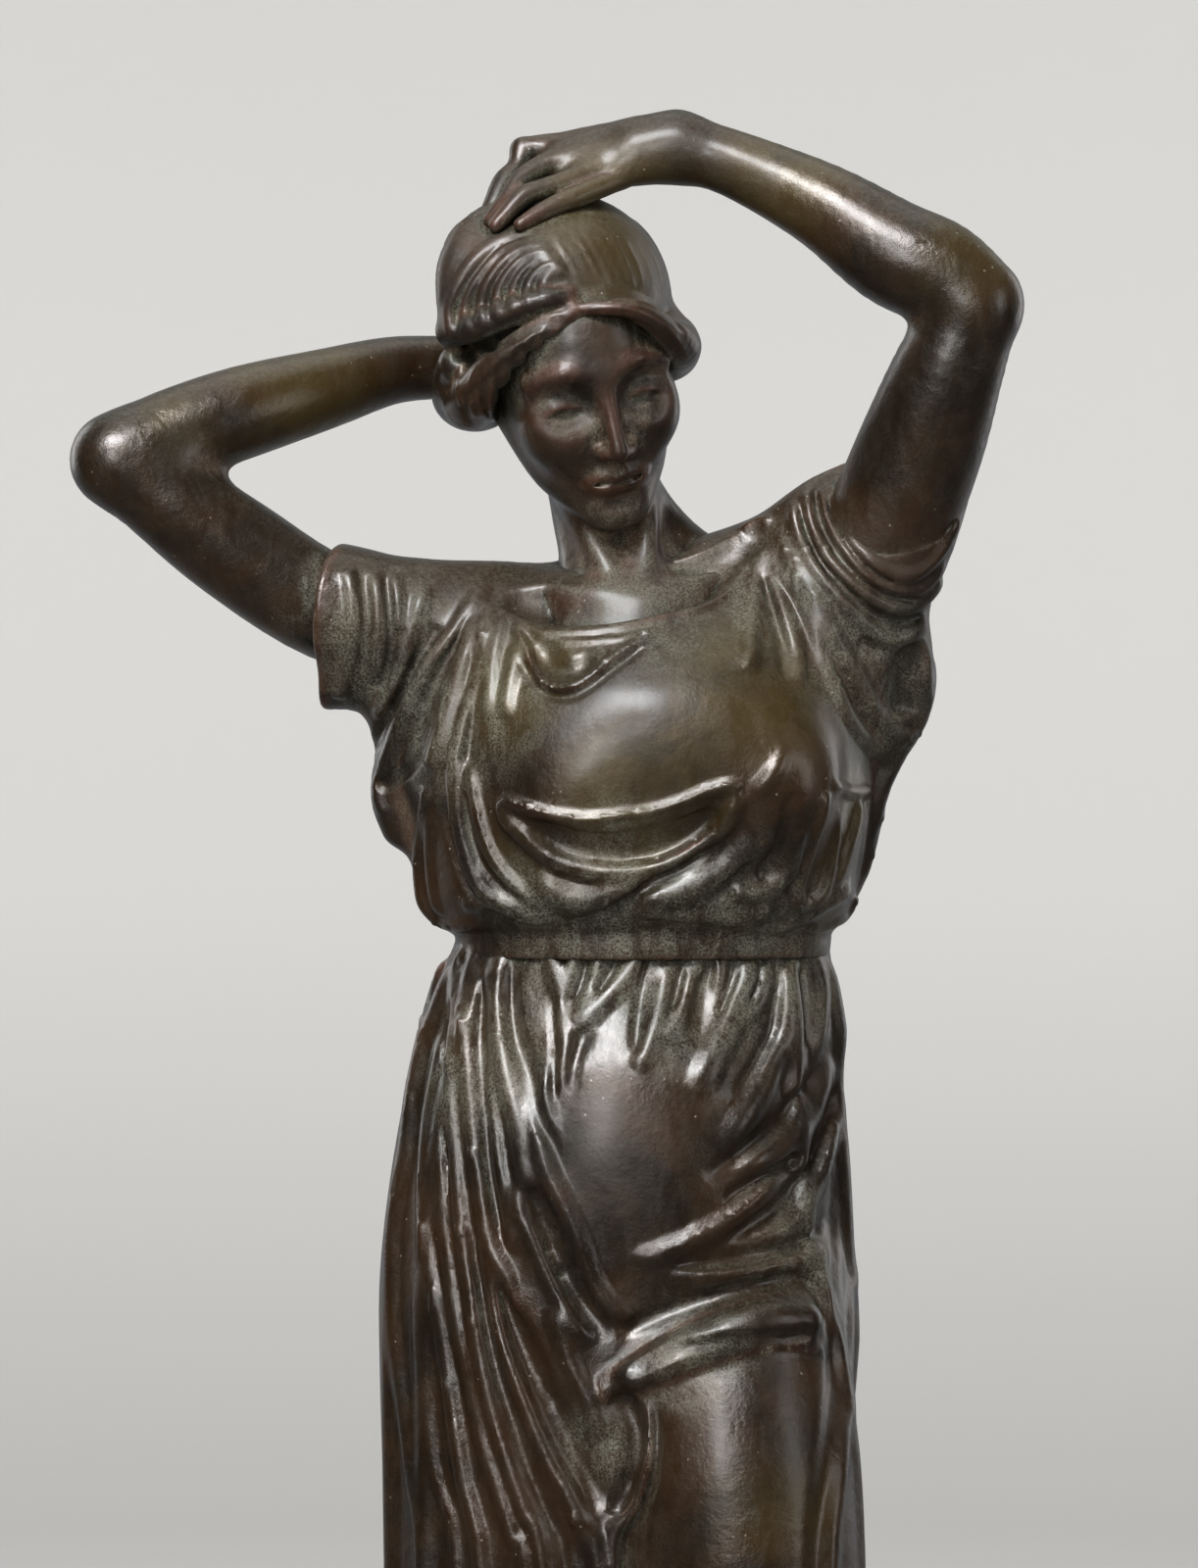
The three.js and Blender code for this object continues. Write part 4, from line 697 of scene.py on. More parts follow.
upper_lip = mirrored(cord([[0, -25.7, -21, 1.2], [2.2, -25.8, -20.7, 1.4], [5, -24.7, -21.3, 1.1],
                           [7.2, -23, -22.1, 0.6]]))
lower_lip = mirrored(cord([[0, -25.2, -24, 1.8], [3.2, -24.7, -23.8, 1.6], [6.2, -23.4, -22.9, 0.8]]))
sockets = mirrored(egg([9.8, -29, -2.4], [7.2, 6.4, 5]))
face = hollow(
    join((1, hollow(skull, (5, sockets))), (3, nose), (2.5, upper_lip), (2.5, lower_lip)),
    (1, cord([[-6.8, -24, -22.4, 0.25], [-3, -26.9, -22.2, 0.4], [0, -27.2, -22.6, 0.4],
              [3, -26.9, -22.2, 0.4], [6.8, -24, -22.4, 0.25]])),
    (0.6, mirrored(egg([1.7, -28.4, -16.3], [0.7, 1.5, 0.7]))),
    (1.5, cord([[0, -27.6, -17.6, 0.5], [0, -27.5, -19.6, 0.6]])),
    (3, egg([0, -27.6, -27.6], [4.6, 2.4, 1.3])),
)
eyeball = mirrored(egg([9.6, -18.8, -4], [5.6, 5, 5]))
opening = both(0.3, egg([9.8, -25, -11.9], [9.2, 8, 9.2]), egg([9.8, -25, 2.7], [9.2, 8, 9.2]))
lids = mirrored(hollow(egg([9.6, -18.7, -4], [6.8, 6, 5.9]), (0.4, opening)))
head = placed(join((1, face), (1, eyeball), (1, lids)), *HEAD)
neck = join(
    (1, cord([[-11, 10, 510, 13.5], [-8, 8, 494, 13], [-6.5, 7, 484, 12.7], [-4, 6, 474, 13.5],
              [2, 6, 456, 18], [4, 8, 442, 24]])),
    (7, cord([[0, 10, 489, 8.5], [11, 9, 475.5, 9], [26, 9, 465, 9]])),
    (6, cord([[-19, 3, 499, 2.6], [-12, -5.5, 482, 2.3], [-3, -10.5, 466, 1.8]])),
    (6, cord([[4, 3, 497, 2.6], [5, -5, 482, 2.3], [4.5, -10.5, 466, 1.8]])),
    (5, cord([[0, -13, 461, 1.6], [-9, -12, 463, 1.7], [-20, -7, 464.5, 1.4]])),
    (5, cord([[6, -13, 461, 1.6], [14, -11, 464, 1.7], [23, -6, 467, 1.4]])),
)
skin = join((1, head), (3.5, neck), (12, egg([3, 4, 446], [33, 26, 21])))

# Hair, gathered up under the hands

hair_form = join(
    (1, hollow(egg([-17, 2, 538], [27.8, 34.2, 28]), (3, placed(egg([0, -33, -13], [17, 24, 27]), *HEAD)))),
    (5, egg([-32, -12, 540], [15, 15, 15], [0, 0, -30])),
    # The overhanging lower edge of the wave, and the twisted roll beneath it
    (2.5, cord([[-15, -32.5, 536.5, 2.2], [-22, -32.5, 535, 3], [-31, -30, 532, 3.6], [-39, -25, 529, 3.4],
                [-45, -18, 528, 2.6]])),
    (1.5, cord([[-14.5, -33, 532, 2], [-20, -33, 529, 3], [-26.5, -31, 525, 3.6], [-33, -27, 519.5, 4.6],
                [-38, -20, 513.5, 5.6], [-40, -11, 511, 6.5]])),
    (3, cord([[-43, -14, 521, 5], [-42, -6, 519, 7]])),
    # The band on the right
    (2.5, cord([[-13, -33, 533.5, 1.8], [-3, -34, 534, 2.3], [4, -31, 532.5, 3], [9.5, -24, 528.5, 4],
                [12.3, -15, 526, 6], [10.5, -5, 526, 8]])),
    (4, egg([-39, 2, 514.5], [11, 15, 9.5])),
    (4, egg([7, 3, 527], [11, 14, 10])),
    (5, cord([[-30, -9, 561, 3], [-36.5, -12, 555, 5.5], [-41, -16, 547, 6.4], [-43, -19, 538, 5],
              [-44.5, -19, 531, 3]])),
    (8, egg([-15, 33, 521], [22, 15, 17])),
)
HAIR_FOLDS = [
    # The wave that sweeps from the hand round the left side
    *fan([[-22, 556.5], [-33, 554], [-41, 546], [-45.5, 536.5], [-45, 528]],
         [[-15, 546], [-18.5, 545.5], [-21, 543.5], [-21.5, 540], [-19, 536]],
         count=7, wide=2.8, high=[1.3, 0.9, 1.4], fade=0.15),
    *fan([[-21, 555.5], [-31.5, 552.5], [-39.5, 544.5], [-43.5, 536], [-43.5, 529]],
         [[-16, 547], [-20, 546.5], [-23, 544], [-23.5, 540.5], [-22, 536.5]],
         count=6, wide=1.6, high=[-0.8, -0.5]),
    Fold([[-15, 540.5], [-21, 539], [-28, 537], [-34, 533.5]], wide=3, high=1.6, fade=0.3),
    Fold([[-15, 533.5], [-23, 532], [-31, 528], [-39, 524.5], [-45, 524]], wide=2.4, high=-2.4, fade=0.15),
    # The twisted roll over the brow and ear on the left
    *[Fold([[-17.5 - i * 4.2, 533.5 - i * 3.3], [-20.5 - i * 4.2, 529 - i * 3.4],
            [-19.5 - i * 4.1, 525.5 - i * 3.9]], wide=2, high=-1.8, fade=0.3) for i in range(6)],
    *fan([[-41, 524], [-43.5, 516], [-41, 509]], [[-33, 519], [-35, 512], [-33, 506]],
         count=4, wide=1.3, high=[1, 0.7], fade=0.25),
    # The smoother band on the right
    *fan([[-12, 535.5], [-4, 536.5], [5, 534.5], [12, 529], [16, 522]],
         [[-12, 532.5], [-4, 532.5], [3, 531], [8, 526], [11, 518]],
         count=4, wide=1.2, high=[0.8, 0.5]),
    Fold([[-14, 538], [-4, 539], [5, 537.5], [11, 534], [15, 530]], wide=1.8, high=-1.1, fade=0.15),
    # Fine combed lines over the crown and the back
    *fan([[-22, 560], [-15, 549], [-11, 541]], [[3, 557], [8, 548], [9.5, 540]],
         count=9, wide=1.1, high=[0.22, 0.12, 0.3], fade=0.35),
    *[Fold([[100 + i * 12, 560], [104 + i * 11, 545], [112 + i * 9.5, 530], [124 + i * 7, 518]],
           wide=1.8, high=0.9, round=True) for i in range(17)],
]
hair = draped(hair_form, HAIR_FOLDS)

# Arms and hands

arm_low = join(
    (1, cord([[-50, 4, 455, 15], [-76, 2, 460, 13.6], [-100, -2, 475, 13.4], [-118, -6, 488.5, 12],
              [-128, -7, 496, 10.6]])),
    (8, cord([[-130, -7, 498, 10.4], [-116, -3, 503.6, 11.8], [-98, 4, 510.2, 11.8], [-78, 14, 516.7, 10.3],
              [-62, 24, 522, 8.8], [-50, 31, 523.5, 8.2]])),
    (4, egg([-38, 36.5, 523], [13, 6, 9.5], [0, 0, 28])),
    *[(2, cord([[-31, 40.5, 530 - i * 4.6, 3.2], [-20, 46, 532 - i * 5, 3], [-8, 47.5, 531 - i * 5, 2.7],
                [-1, 44, 529 - i * 4.6, 2.3]])) for i in range(4)],
)
arm_high = join(
    (1, cord([[54, 4, 456, 16], [66, -6, 480, 16.4], [74.3, -14, 501, 15.8], [80.4, -21, 518.5, 13.9],
              [86, -25, 532, 11.6]])),
    (5, cord([[88, -26, 536.5, 10.8], [78, -24, 543.2, 13.2], [66.5, -22, 548.7, 13.2],
              [49, -17, 560.9, 10.7], [27, -11, 572, 8.4], [12.4, -8, 576.6, 8.4]])),
    (5, cord([[12.4, -8, 576.6, 8.2], [4, -8, 576, 8]])),
    (5, egg([-5, -8, 574.3], [18, 10.5, 5.8], [50, -9, 0])),
    (2, cord([[-12, -3, 577.5, 3.8], [-21, -3, 577, 3.5], [-26.5, -3, 576.3, 3.2]], 3)),
    (1.5, cord([[-26.5, -3, 576.3, 3.1], [-28, -5, 571.5, 2.9], [-31, -7, 567.5, 3.4], [-33.5, -10, 562, 3],
                [-36, -12, 557, 2.4]])),
    (2, cord([[-11, -8, 574.5, 3.6], [-18.3, -10, 572.6, 3.3], [-23.5, -12, 570.2, 3],
              [-27.3, -14, 567.3, 2.7], [-30.3, -17, 562.4, 2.4], [-34.6, -19, 557, 1.9]])),
    (1.5, cord([[-9, -13, 570, 3.2], [-15, -15.5, 567, 3.1], [-21, -17.5, 565, 2.8], [-25.7, -19, 563.4, 2.6],
                [-29.4, -20.5, 559.6, 2.3], [-33.2, -22, 555.4, 1.8]])),
    (1.5, cord([[-2, -13, 568, 2.8], [-12.6, -19, 563, 2.8], [-16.7, -21, 561.3, 2.6], [-22, -23, 558.5, 2.3],
                [-27, -25, 555.3, 1.8]])),
    (2, cord([[-6, 2, 571, 3.6], [-14, 9, 566, 3.2], [-20, 12, 561, 2.6]])),
)

# Feet under the hem. Each toe has its place across, its reach and its radius, the big toe first.

TOES = [(-6.6, 31.5, 3.1), (-2, 32.5, 2.4), (1.9, 31.5, 2.3), (5.3, 29.5, 2.1), (8.3, 27, 2)]


def foot(centre, turn):
    """A bare foot that shows its toes under the hem, turned out by degrees."""
    toes = [(1.2, cord([[x, -21, 4.2, r], [x * 1.08, -y, 3.2, r * 0.85]])) for x, y, r in TOES]
    instep = join(
        (1, cord([[0, 14, 14, 10], [0, -4, 9, 9], [0.5, -16, 5, 6.5]])),
        (4, egg([0.6, -16, 4], [10.4, 9, 5.4])),
    )
    return placed(join((1, instep), *toes), [*centre, BASE_HEIGHT], [0, 0, turn], 1)


feet = join((1, foot([-29, -22], -6)), (1, mirrored_at(36, foot([36, -15], -8))))

# Each form with its box, its cell size and how many triangles it keeps
FORMS = {
    "skirt": (draped(skirt_form, SKIRT_FOLDS), [[-74, -72, 18], [78, 66, 380]], 0.8, 60000),
    "blouse": (blouse, [[-92, -60, 368], [92, 48, 500]], 0.6, 55000),
    "skin": (skin, [[-46, -48, 424], [42, 44, 562]], 0.4, 30000),
    "hair": (hair, [[-56, -46, 492], [26, 56, 574]], 0.4, 25000),
    "arm_low": (arm_low, [[-146, -24, 432], [6, 60, 542]], 0.6, 8000),
    "arm_high": (arm_high, [[-42, -44, 432], [106, 28, 590]], 0.5, 16000),
    "feet": (feet, [[-46, -68, 18], [64, 6, 50]], 0.8, 1600),
}


# Meshing: a cell that the surface crosses holds one point, and a grid edge it crosses gives a face.

CORNERS = np.array([[i & 1, (i >> 1) & 1, i >> 2] for i in range(8)])
EDGES = [(a, a | bit) for a in range(8) for bit in (1, 2, 4) if not a & bit]
# Cells to a block's side, and how far in cells a block's middle may lie from the surface that it holds
BLOCK = 4
BLOCK_REACH = 4.6


def is_clean(mask):
    """Whether a pattern of inside corners gives one patch with no pinched face."""
    def inside(i):
        return (mask >> i) & 1

    for side in (0, 1):
        group = [i for i in range(8) if inside(i) == side]
        if not group:
            return True
        seen = [group[0]]
        for i in seen:
            seen += [i ^ b for b in (1, 2, 4) if inside(i ^ b) == side and i ^ b not in seen]
        if len(seen) < len(group):
            return False
    for bit in (1, 2, 4):
        b, c = (other for other in (1, 2, 4) if other != bit)
        for first in (0, bit):
            p, q, r, s = map(inside, (first, first ^ b, first ^ b ^ c, first ^ c))
            if p == r and q == s and p != q:
                return False
    return True


CLEAN = np.array([is_clean(mask) for mask in range(256)])


def evaluate(field, points, chunk=1 << 15):
    """Field values at many points, in chunks shared between threads."""
    points = points.astype(np.float32)
    pieces = [points[i:i + chunk] for i in range(0, len(points), chunk)]
    with ThreadPoolExecutor(4) as pool:
        return np.concatenate(list(pool.map(lambda p: field(*p.T.copy()), pieces)))


def sampled(field, low, blocks, cell):
    """Field values on a grid, worked out in full only in the blocks near the surface."""
    centres = np.stack(np.meshgrid(*(np.arange(n) for n in blocks), indexing="ij"), -1).reshape(-1, 3)
    middle = evaluate(field, low + (centres * BLOCK + (BLOCK - 1) / 2) * cell)
    value = middle.reshape(blocks).repeat(BLOCK, 0).repeat(BLOCK, 1).repeat(BLOCK, 2)
    active = centres[np.abs(middle) < BLOCK_REACH * cell] * BLOCK
    offsets = np.stack(np.meshgrid(*[np.arange(BLOCK)] * 3, indexing="ij"), -1).reshape(-1, 3)
    index = (active[:, None] + offsets).reshape(-1, 3)
    value[tuple(index.T)] = evaluate(field, low + index * cell)
    value[value == 0] = 1e-6
    for axis in range(3):
        side = np.moveaxis(value, axis, 0)
        side[0], side[-1] = np.maximum(side[0], 1e-3), np.maximum(side[-1], 1e-3)
    return value


def crossed_cells(value, strides):
    """The cells that the surface crosses and their corner values, after pinched cells are filled."""
    nx, ny, nz = np.array(value.shape) - 1
    flat = value.reshape(-1)
    steps = CORNERS @ strides
    while True:
        inside = value < 0
        count = np.zeros((nx, ny, nz), np.uint8)
        for a, b, c in CORNERS:
            count += inside[a:nx + a, b:ny + b, c:nz + c]
        cells = np.argwhere((count > 0) & (count < 8))
        ids = cells @ strides
        corner = flat[ids[:, None] + steps]
        mask = ((corner < 0) << np.arange(8)).sum(1)
        dirty = ~CLEAN[mask]
        if not dirty.any():
            return cells, corner
        outside = np.where(corner[dirty] >= 0, corner[dirty], np.inf)
        flat[ids[dirty] + steps[outside.argmin(1)]] = -1e-3


def middles(corner):
    """The middle of the places where the surface crosses each cell's edges, in cells."""
    total = np.zeros((len(corner), 3))
    crossings = np.zeros(len(corner))
    for a, b in EDGES:
        cut = (corner[:, a] < 0) != (corner[:, b] < 0)
        t = np.where(cut, corner[:, a] / np.where(cut, corner[:, a] - corner[:, b], 1), 0)
        spot = CORNERS[a] + t[:, None] * (CORNERS[b] - CORNERS[a])
        total += np.where(cut[:, None], spot, 0)
        crossings += cut
    return total / crossings[:, None]


def rings(value, strides, ids):
    """A face round each grid edge that the surface crosses, made of the cells beside it."""
    inside = value < 0
    flat = value.reshape(-1)
    faces = []
    for axis in range(3):
        u, v = strides[(axis + 1) % 3], strides[(axis + 2) % 3]
        here = np.moveaxis(inside, axis, 0)
        order = [axis] + [k for k in range(3) if k != axis]
        n = np.argwhere(here[1:] != here[:-1])[:, np.argsort(order)] @ strides
        ring = np.stack([n - u - v, n - v, n, n - u], 1)
        ring[flat[n] >= 0] = ring[flat[n] >= 0][:, ::-1]
        faces.append(np.searchsorted(ids, ring))
    return np.vstack(faces)


def surface(field, box, cell):
    """The surface of a field inside a box, as points and four-sided faces."""
    low = np.array(box[0], float) - cell
    blocks = np.ceil((np.array(box[1]) - low + cell) / (cell * BLOCK)).astype(int) + 1
    value = sampled(field, low, blocks, cell)
    strides = np.array([value.shape[1] * value.shape[2], value.shape[2], 1])
    cells, corner = crossed_cells(value, strides)
    return low + (cells + middles(corner)) * cell, rings(value, strides, cells @ strides)


# Building the casting

def mesh_object(name, points, faces):
    """A mesh object from points and faces that all have as many corners."""
    mesh = bpy.data.meshes.new(name)
    mesh.vertices.add(len(points))
    mesh.vertices.foreach_set("co", points.astype(np.float32).ravel())
    mesh.loops.add(faces.size)
    mesh.loops.foreach_set("vertex_index", faces.astype(np.int32).ravel())
    mesh.polygons.add(len(faces))
    mesh.polygons.foreach_set("loop_start", np.arange(0, faces.size, faces.shape[1], dtype=np.int32))
    mesh.update(calc_edges=True)
    piece = bpy.data.objects.new(name, mesh)
    bpy.context.scene.collection.objects.link(piece)
    return piece


def lathe(profile, count):
    """Points and four-sided faces of a profile of radius and height, turned round the axis."""
    turns = np.radians(np.arange(count) * 360 / count)
    points = np.vstack([np.stack([rho * np.cos(turns), rho * np.sin(turns), np.full(count, level)], 1)
                        for rho, level in profile])
    here = np.arange(count)
    after = np.roll(here, -1)
    faces = [np.stack([k + here, k + after, k + count + after, k + count + here], 1)
             for k in range(0, (len(profile) - 1) * count, count)]
    return points, np.vstack(faces)


def settle(piece):
    """Applies the modifiers of an object to its mesh."""
    done = piece.evaluated_get(bpy.context.evaluated_depsgraph_get())
    mesh = bpy.data.meshes.new_from_object(done)
    piece.modifiers.clear()
    piece.data = mesh


def sculpted(name):
    """One form of the figure as a closed mesh, thinned to the triangles that it keeps."""
    field, box, cell, kept = FORMS[name]
    points, faces = surface(field, box, cell * FINE)
    piece = mesh_object(name, points, faces)
    thin = piece.modifiers.new("thin", "DECIMATE")
    thin.ratio = min(1, kept / FINE**2 / (2 * len(faces)))
    thin.use_collapse_triangulate = True
    settle(piece)
    return piece


def turned_base():
    """The round base, turned from a profile of radius and height with softened edges."""
    r, h = BASE_RADIUS, BASE_HEIGHT
    profile = [[r - 0.8, 0], [r, 0.8], [r, 4.4], [r - 0.5, 5.4], [r - 2, 6.4], [r - 2.5, 7.6],
               [r - 2.5, h - 6.4], [r - 2.8, h - 4.6], [r - 3.7, h - 2], [r - 5, h - 0.7], [r - 7, h]]
    points, walls = lathe(profile, BASE_SIDES)
    bottom, top = len(points), len(points) + 1
    points = np.vstack([points, [0, 0, 0], [0, 0, h]])
    here = np.arange(BASE_SIDES)
    after = np.roll(here, -1)
    last = bottom - BASE_SIDES
    faces = [walls[:, [0, 1, 2]], walls[:, [0, 2, 3]],
             np.stack([after, here, np.full(BASE_SIDES, bottom)], 1),
             np.stack([last + here, last + after, np.full(BASE_SIDES, top)], 1)]
    return mesh_object("base", points, np.vstack(faces))


def cast_figure():
    """All the forms and the base as one closed shell."""
    figure = turned_base()
    figure.name = "cast_figure"
    parts = [sculpted(name) for name in FORMS]
    for part in parts:
        union = figure.modifiers.new(part.name, "BOOLEAN")
        union.operation = "UNION"
        union.solver = "MANIFOLD"
        union.object = part
    settle(figure)
    for part in parts:
        bpy.data.objects.remove(part)
    return figure


def triples(values, key):
    """Three numbers for each entry of a mesh's list."""
    numbers = np.empty(len(values) * 3, np.float32)
    values.foreach_get(key, numbers)
    return numbers.reshape(-1, 3)


def mark_relief(figure):
    """Stores how deep in a hollow and how far out on an edge each point lies, from 0 to 1."""
    mesh = figure.data
    spots, out = triples(mesh.vertices, "co"), triples(mesh.vertex_normals, "vector")
    for field, box, *_ in FORMS.values():
        field.box = (np.array(box[0]), np.array(box[1]))
    forms = [(1, form[0]) for form in FORMS.values()]
    whole = join(*forms, (1, lambda x, y, z: z - BASE_HEIGHT))
    hollows = np.zeros(len(spots))
    edges = np.zeros(len(spots))
    for reach in REACHES:
        hollows += np.clip(1 - evaluate(whole, spots + out * reach) / reach, 0, 1) / len(REACHES)
    for reach in REACHES[:2]:
        edges += np.clip(1 + evaluate(whole, spots - out * reach) / reach, 0, 1) / 2
    for name, values in (("hollow", hollows), ("edge", edges)):
        mesh.attributes.new(name, "FLOAT", "POINT").data.foreach_set("value", values.astype(np.float32))


# Bronze

# Where the surface is duller, where it has a golden bloom and where dust clings most: centres and reaches
MATT_PLACES = [
    [[-10, -30, 556], 52],
    [[-34, -28, 544], 34],
    [[-12, -30, 516], 32],
    [[-44, -14, 456], 38],
    [[4, -20, 464], 34],
    [[56, -14, 456], 40],
    [[16, -16, 576], 34],
    [[2, -44, 428], 32],
    [[-6, -42, 322], 26],
]
GOLDEN_PLACES = [
    [[4, -46, 413], 30],
    [[30, -38, 440], 32],
    [[-24, -30, 440], 24],
    [[0, -20, 556], 34],
    [[40, -14, 566], 26],
    [[84, -24, 545], 22],
    [[-84, 10, 514], 30],
    [[-116, -5, 502], 18],
    [[52, -20, 405], 24],
    [[34, -40, 235], 24],
    [[-20, -20, 400], 24],
]
DUSTY_PLACES = [
    [[-62, -12, 450], 34],
    [[-46, -26, 436], 36],
    [[4, -20, 464], 40],
    [[38, -20, 466], 28],
    [[-4, -38, 399], 20],
    [[58, -12, 440], 32],
    [[-26, -34, 384], 18],
    [[-12, -32, 373], 32],
    [[20, -32, 372], 42],
    [[50, -27, 371], 32],
    [[-38, -30, 345], 28],
    [[-8, -42, 250], 14],
    [[16, -44, 274], 20],
    [[46, -30, 300], 22],
]


class Nodes:
    """Short names for building the nodes of a material or a world."""

    def __init__(self, owner, place="Object"):
        owner.use_nodes = True
        self.tree = owner.node_tree
        self.place = self.add("TexCoord").outputs[place]

    def add(self, kind, values=(), **settings):
        node = self.tree.nodes.new("ShaderNode" + kind)
        for key, value in settings.items():
            setattr(node, key, value)
        self.fill(node, values)
        return node

    def fill(self, node, values):
        """Sets a node's sockets, each to a value or to another node's output."""
        for key, value in dict(values).items():
            if isinstance(value, bpy.types.NodeSocket):
                self.tree.links.new(value, node.inputs[key])
            else:
                node.inputs[key].default_value = value

    def noise(self, size, detail=3.0, rough=0.55, twist=0.0, stretch=1.0):
        """Cloudy noise whose patches are about size millimetres across, and stretch times as tall."""
        place = self.add("VectorMath", {0: self.place, 1: (1, 1, 1 / stretch)}, operation="MULTIPLY")
        node = self.add("TexNoise", {"Vector": place.outputs["Vector"], "Scale": 1 / (size * MM),
                                     "Detail": detail, "Roughness": rough, "Distortion": twist})
        return node.outputs["Fac"]

    def ramp(self, value, low, high, start=0.0, end=1.0):
        """Maps a value from low and high to start and end."""
        node = self.add("MapRange", {"Value": value, "From Min": low, "From Max": high,
                                     "To Min": start, "To Max": end}, interpolation_type="SMOOTHSTEP")
        return node.outputs["Result"]

    def math(self, kind, first, *others):
        """Works through the values from the left, two at a time."""
        for other in others:
            first = self.add("Math", {0: first, 1: other}, operation=kind).outputs[0]
        return first

    def times(self, *values):
        return self.math("MULTIPLY", *values)

    def plus(self, *values):
        return self.math("ADD", *values)

    def most(self, *values):
        return self.math("MAXIMUM", *values)

    def near(self, places):
        """One at the middle of each place, a centre and a reach, and nought beyond it."""
        shares = []
        for centre, reach in places:
            gap = self.add("VectorMath", {0: self.place, 1: [v * MM for v in centre]}, operation="DISTANCE")
            shares.append(self.ramp(gap.outputs["Value"], 0.3 * reach * MM, reach * MM, 1.0, 0.0))
        return self.most(*shares)

    def mix(self, share, first, second):
        """A colour between two others, each a colour value or another node's output."""
        node = self.add("Mix", data_type="RGBA")
        first, second = ((*c, 1) if isinstance(c, tuple) else c for c in (first, second))
        self.fill(node, {"Factor": share, 6: first, 7: second})
        return node.outputs[2]


class Bronze(Nodes):
    """Waxed dark brown bronze with a golden bloom, reddish edges, and pale dust and painted shade in its
    hollows.
    """

    def __init__(self, material):
        super().__init__(material)
        self.hollows = self.add("Attribute", attribute_name="hollow").outputs["Fac"]
        self.edges = self.add("Attribute", attribute_name="edge").outputs["Fac"]
        self.normal = self.add("NewGeometry").outputs["Normal"]
        self.clouds = self.noise(26, 4, 0.6, 0.4)
        self.streaks = self.noise(6, 5, 0.65, 0.6, 2.5)
        self.grain = self.noise(1.1, 4, 0.75)
        self.powder = self.noise(0.55, 3, 0.7)

    def patina(self):
        """Dark and brown clouds, painted shade in the hollows, the golden bloom and the reddish edges."""
        colour = self.mix(self.ramp(self.clouds, 0.36, 0.66), DARK, BROWN)
        # Painted shade: the hollows turn near-black, like the shade that falls in them
        colour = self.mix(self.ramp(self.hollows, 0.1, 0.5), colour, PAINTED_HOLLOW_SHADE)
        golden = self.plus(self.times(self.near(GOLDEN_PLACES), 0.9), 0.1)
        bloom = self.times(self.ramp(self.clouds, 0.3, 0.55, 0.45, 1.0), golden,
                           self.ramp(self.edges, 0.05, 0.3, 1.0, 0.3))
        colour = self.mix(bloom, colour, OLIVE)
        red = self.times(self.ramp(self.edges, 0.08, 0.4), self.ramp(self.streaks, 0.32, 0.6, 0.2, 0.75))
        return self.mix(red, colour, RED)

    def dust(self):
        """The share of dust: resting on top, lodged in hollows, a film in its places and chalk on crests."""
        upward = self.add("SeparateXYZ", {"Vector": self.normal}).outputs["Z"]
        level = self.add("SeparateXYZ", {"Vector": self.place}).outputs["Z"]
        resting = self.times(self.ramp(upward, 0.25, 0.95), self.ramp(self.grain, 0.35, 0.75, 0.1, 0.8), 0.5)
        lodged = self.times(self.ramp(self.hollows, 0.05, 0.4), self.ramp(self.streaks, 0.3, 0.65, 0.1, 1.0),
                            self.ramp(self.powder, 0.35, 0.65, 0.2, 1.0), 0.7)
        dusty = self.plus(self.times(self.near(DUSTY_PLACES), 0.72), 0.08)
        film = self.times(dusty, self.ramp(self.streaks, 0.34, 0.64, 0.25, 1.0),
                          self.ramp(self.powder, 0.36, 0.64, 0.1, 1.0),
                          self.ramp(self.edges, 0.1, 0.45, 1.0, 0.3))
        chalk = self.times(self.ramp(self.edges, 0.08, 0.3), self.ramp(self.powder, 0.48, 0.6),
                           self.ramp(self.streaks, 0.42, 0.62, 0.0, 0.7),
                           self.ramp(level, 0.3, 0.36, 1.0, 0.15))
        return self.most(resting, lodged, film, chalk)

    def specks(self):
        """Small pale dots in some of the clouds."""
        cells = self.add("TexVoronoi", {"Vector": self.place, "Scale": 1 / (4.5 * MM), "Randomness": 1.0})
        return self.times(self.ramp(cells.outputs["Distance"], 0.03, 0.09, 1.0, 0.0),
                          self.ramp(self.clouds, 0.45, 0.6), 0.6)

    def relief(self):
        """Worn places, chased texture and grain, one on the other."""
        worn, chased = self.noise(9, 3, 0.5, 0.5), self.noise(3.2, 5, 0.68)
        normal = self.normal
        for height, strength, depth in ((worn, 0.7, 0.5), (chased, 0.65, 0.3), (self.grain, 0.6, 0.12)):
            bump = self.add("Bump", {"Height": height, "Strength": strength, "Distance": depth * MM,
                                     "Normal": normal})
            normal = bump.outputs["Normal"]
        return normal


def bronze():
    material = bpy.data.materials.new("patinated_bronze")
    n = Bronze(material)
    dust = n.dust()
    colour = n.mix(n.specks(), n.mix(dust, n.patina(), DUST), SPECK)
    rough = n.plus(n.ramp(n.streaks, 0.3, 0.7, 0.27, 0.4), n.times(dust, 0.4),
                   n.times(n.near(MATT_PLACES), 0.2))
    # Painted shade on the reflections: the specular and the coat are weakened in the hollows, where shade
    # falls
    painted_shade_on_reflections = n.ramp(n.hollows, 0.15, 0.7, 1.0, 0.25)
    n.fill(n.tree.nodes["Principled BSDF"], {
        "Base Color": colour,
        "Roughness": rough,
        "Metallic": 0.3,
        "Specular IOR Level": n.times(painted_shade_on_reflections, 0.65),
        "Coat Weight": n.times(painted_shade_on_reflections, 0.3),
        "Coat Roughness": 0.25,
        "Normal": n.relief(),
    })
    return material


figure = cast_figure()
mark_relief(figure)
figure.data.transform(Matrix.Scale(MM, 4))
figure.data.shade_smooth()
figure.data.set_sharp_from_angle(angle=radians(48))
figure.data.materials.clear()
figure.data.materials.append(bronze())
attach(figure, "root")
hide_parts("figure")


# Studio

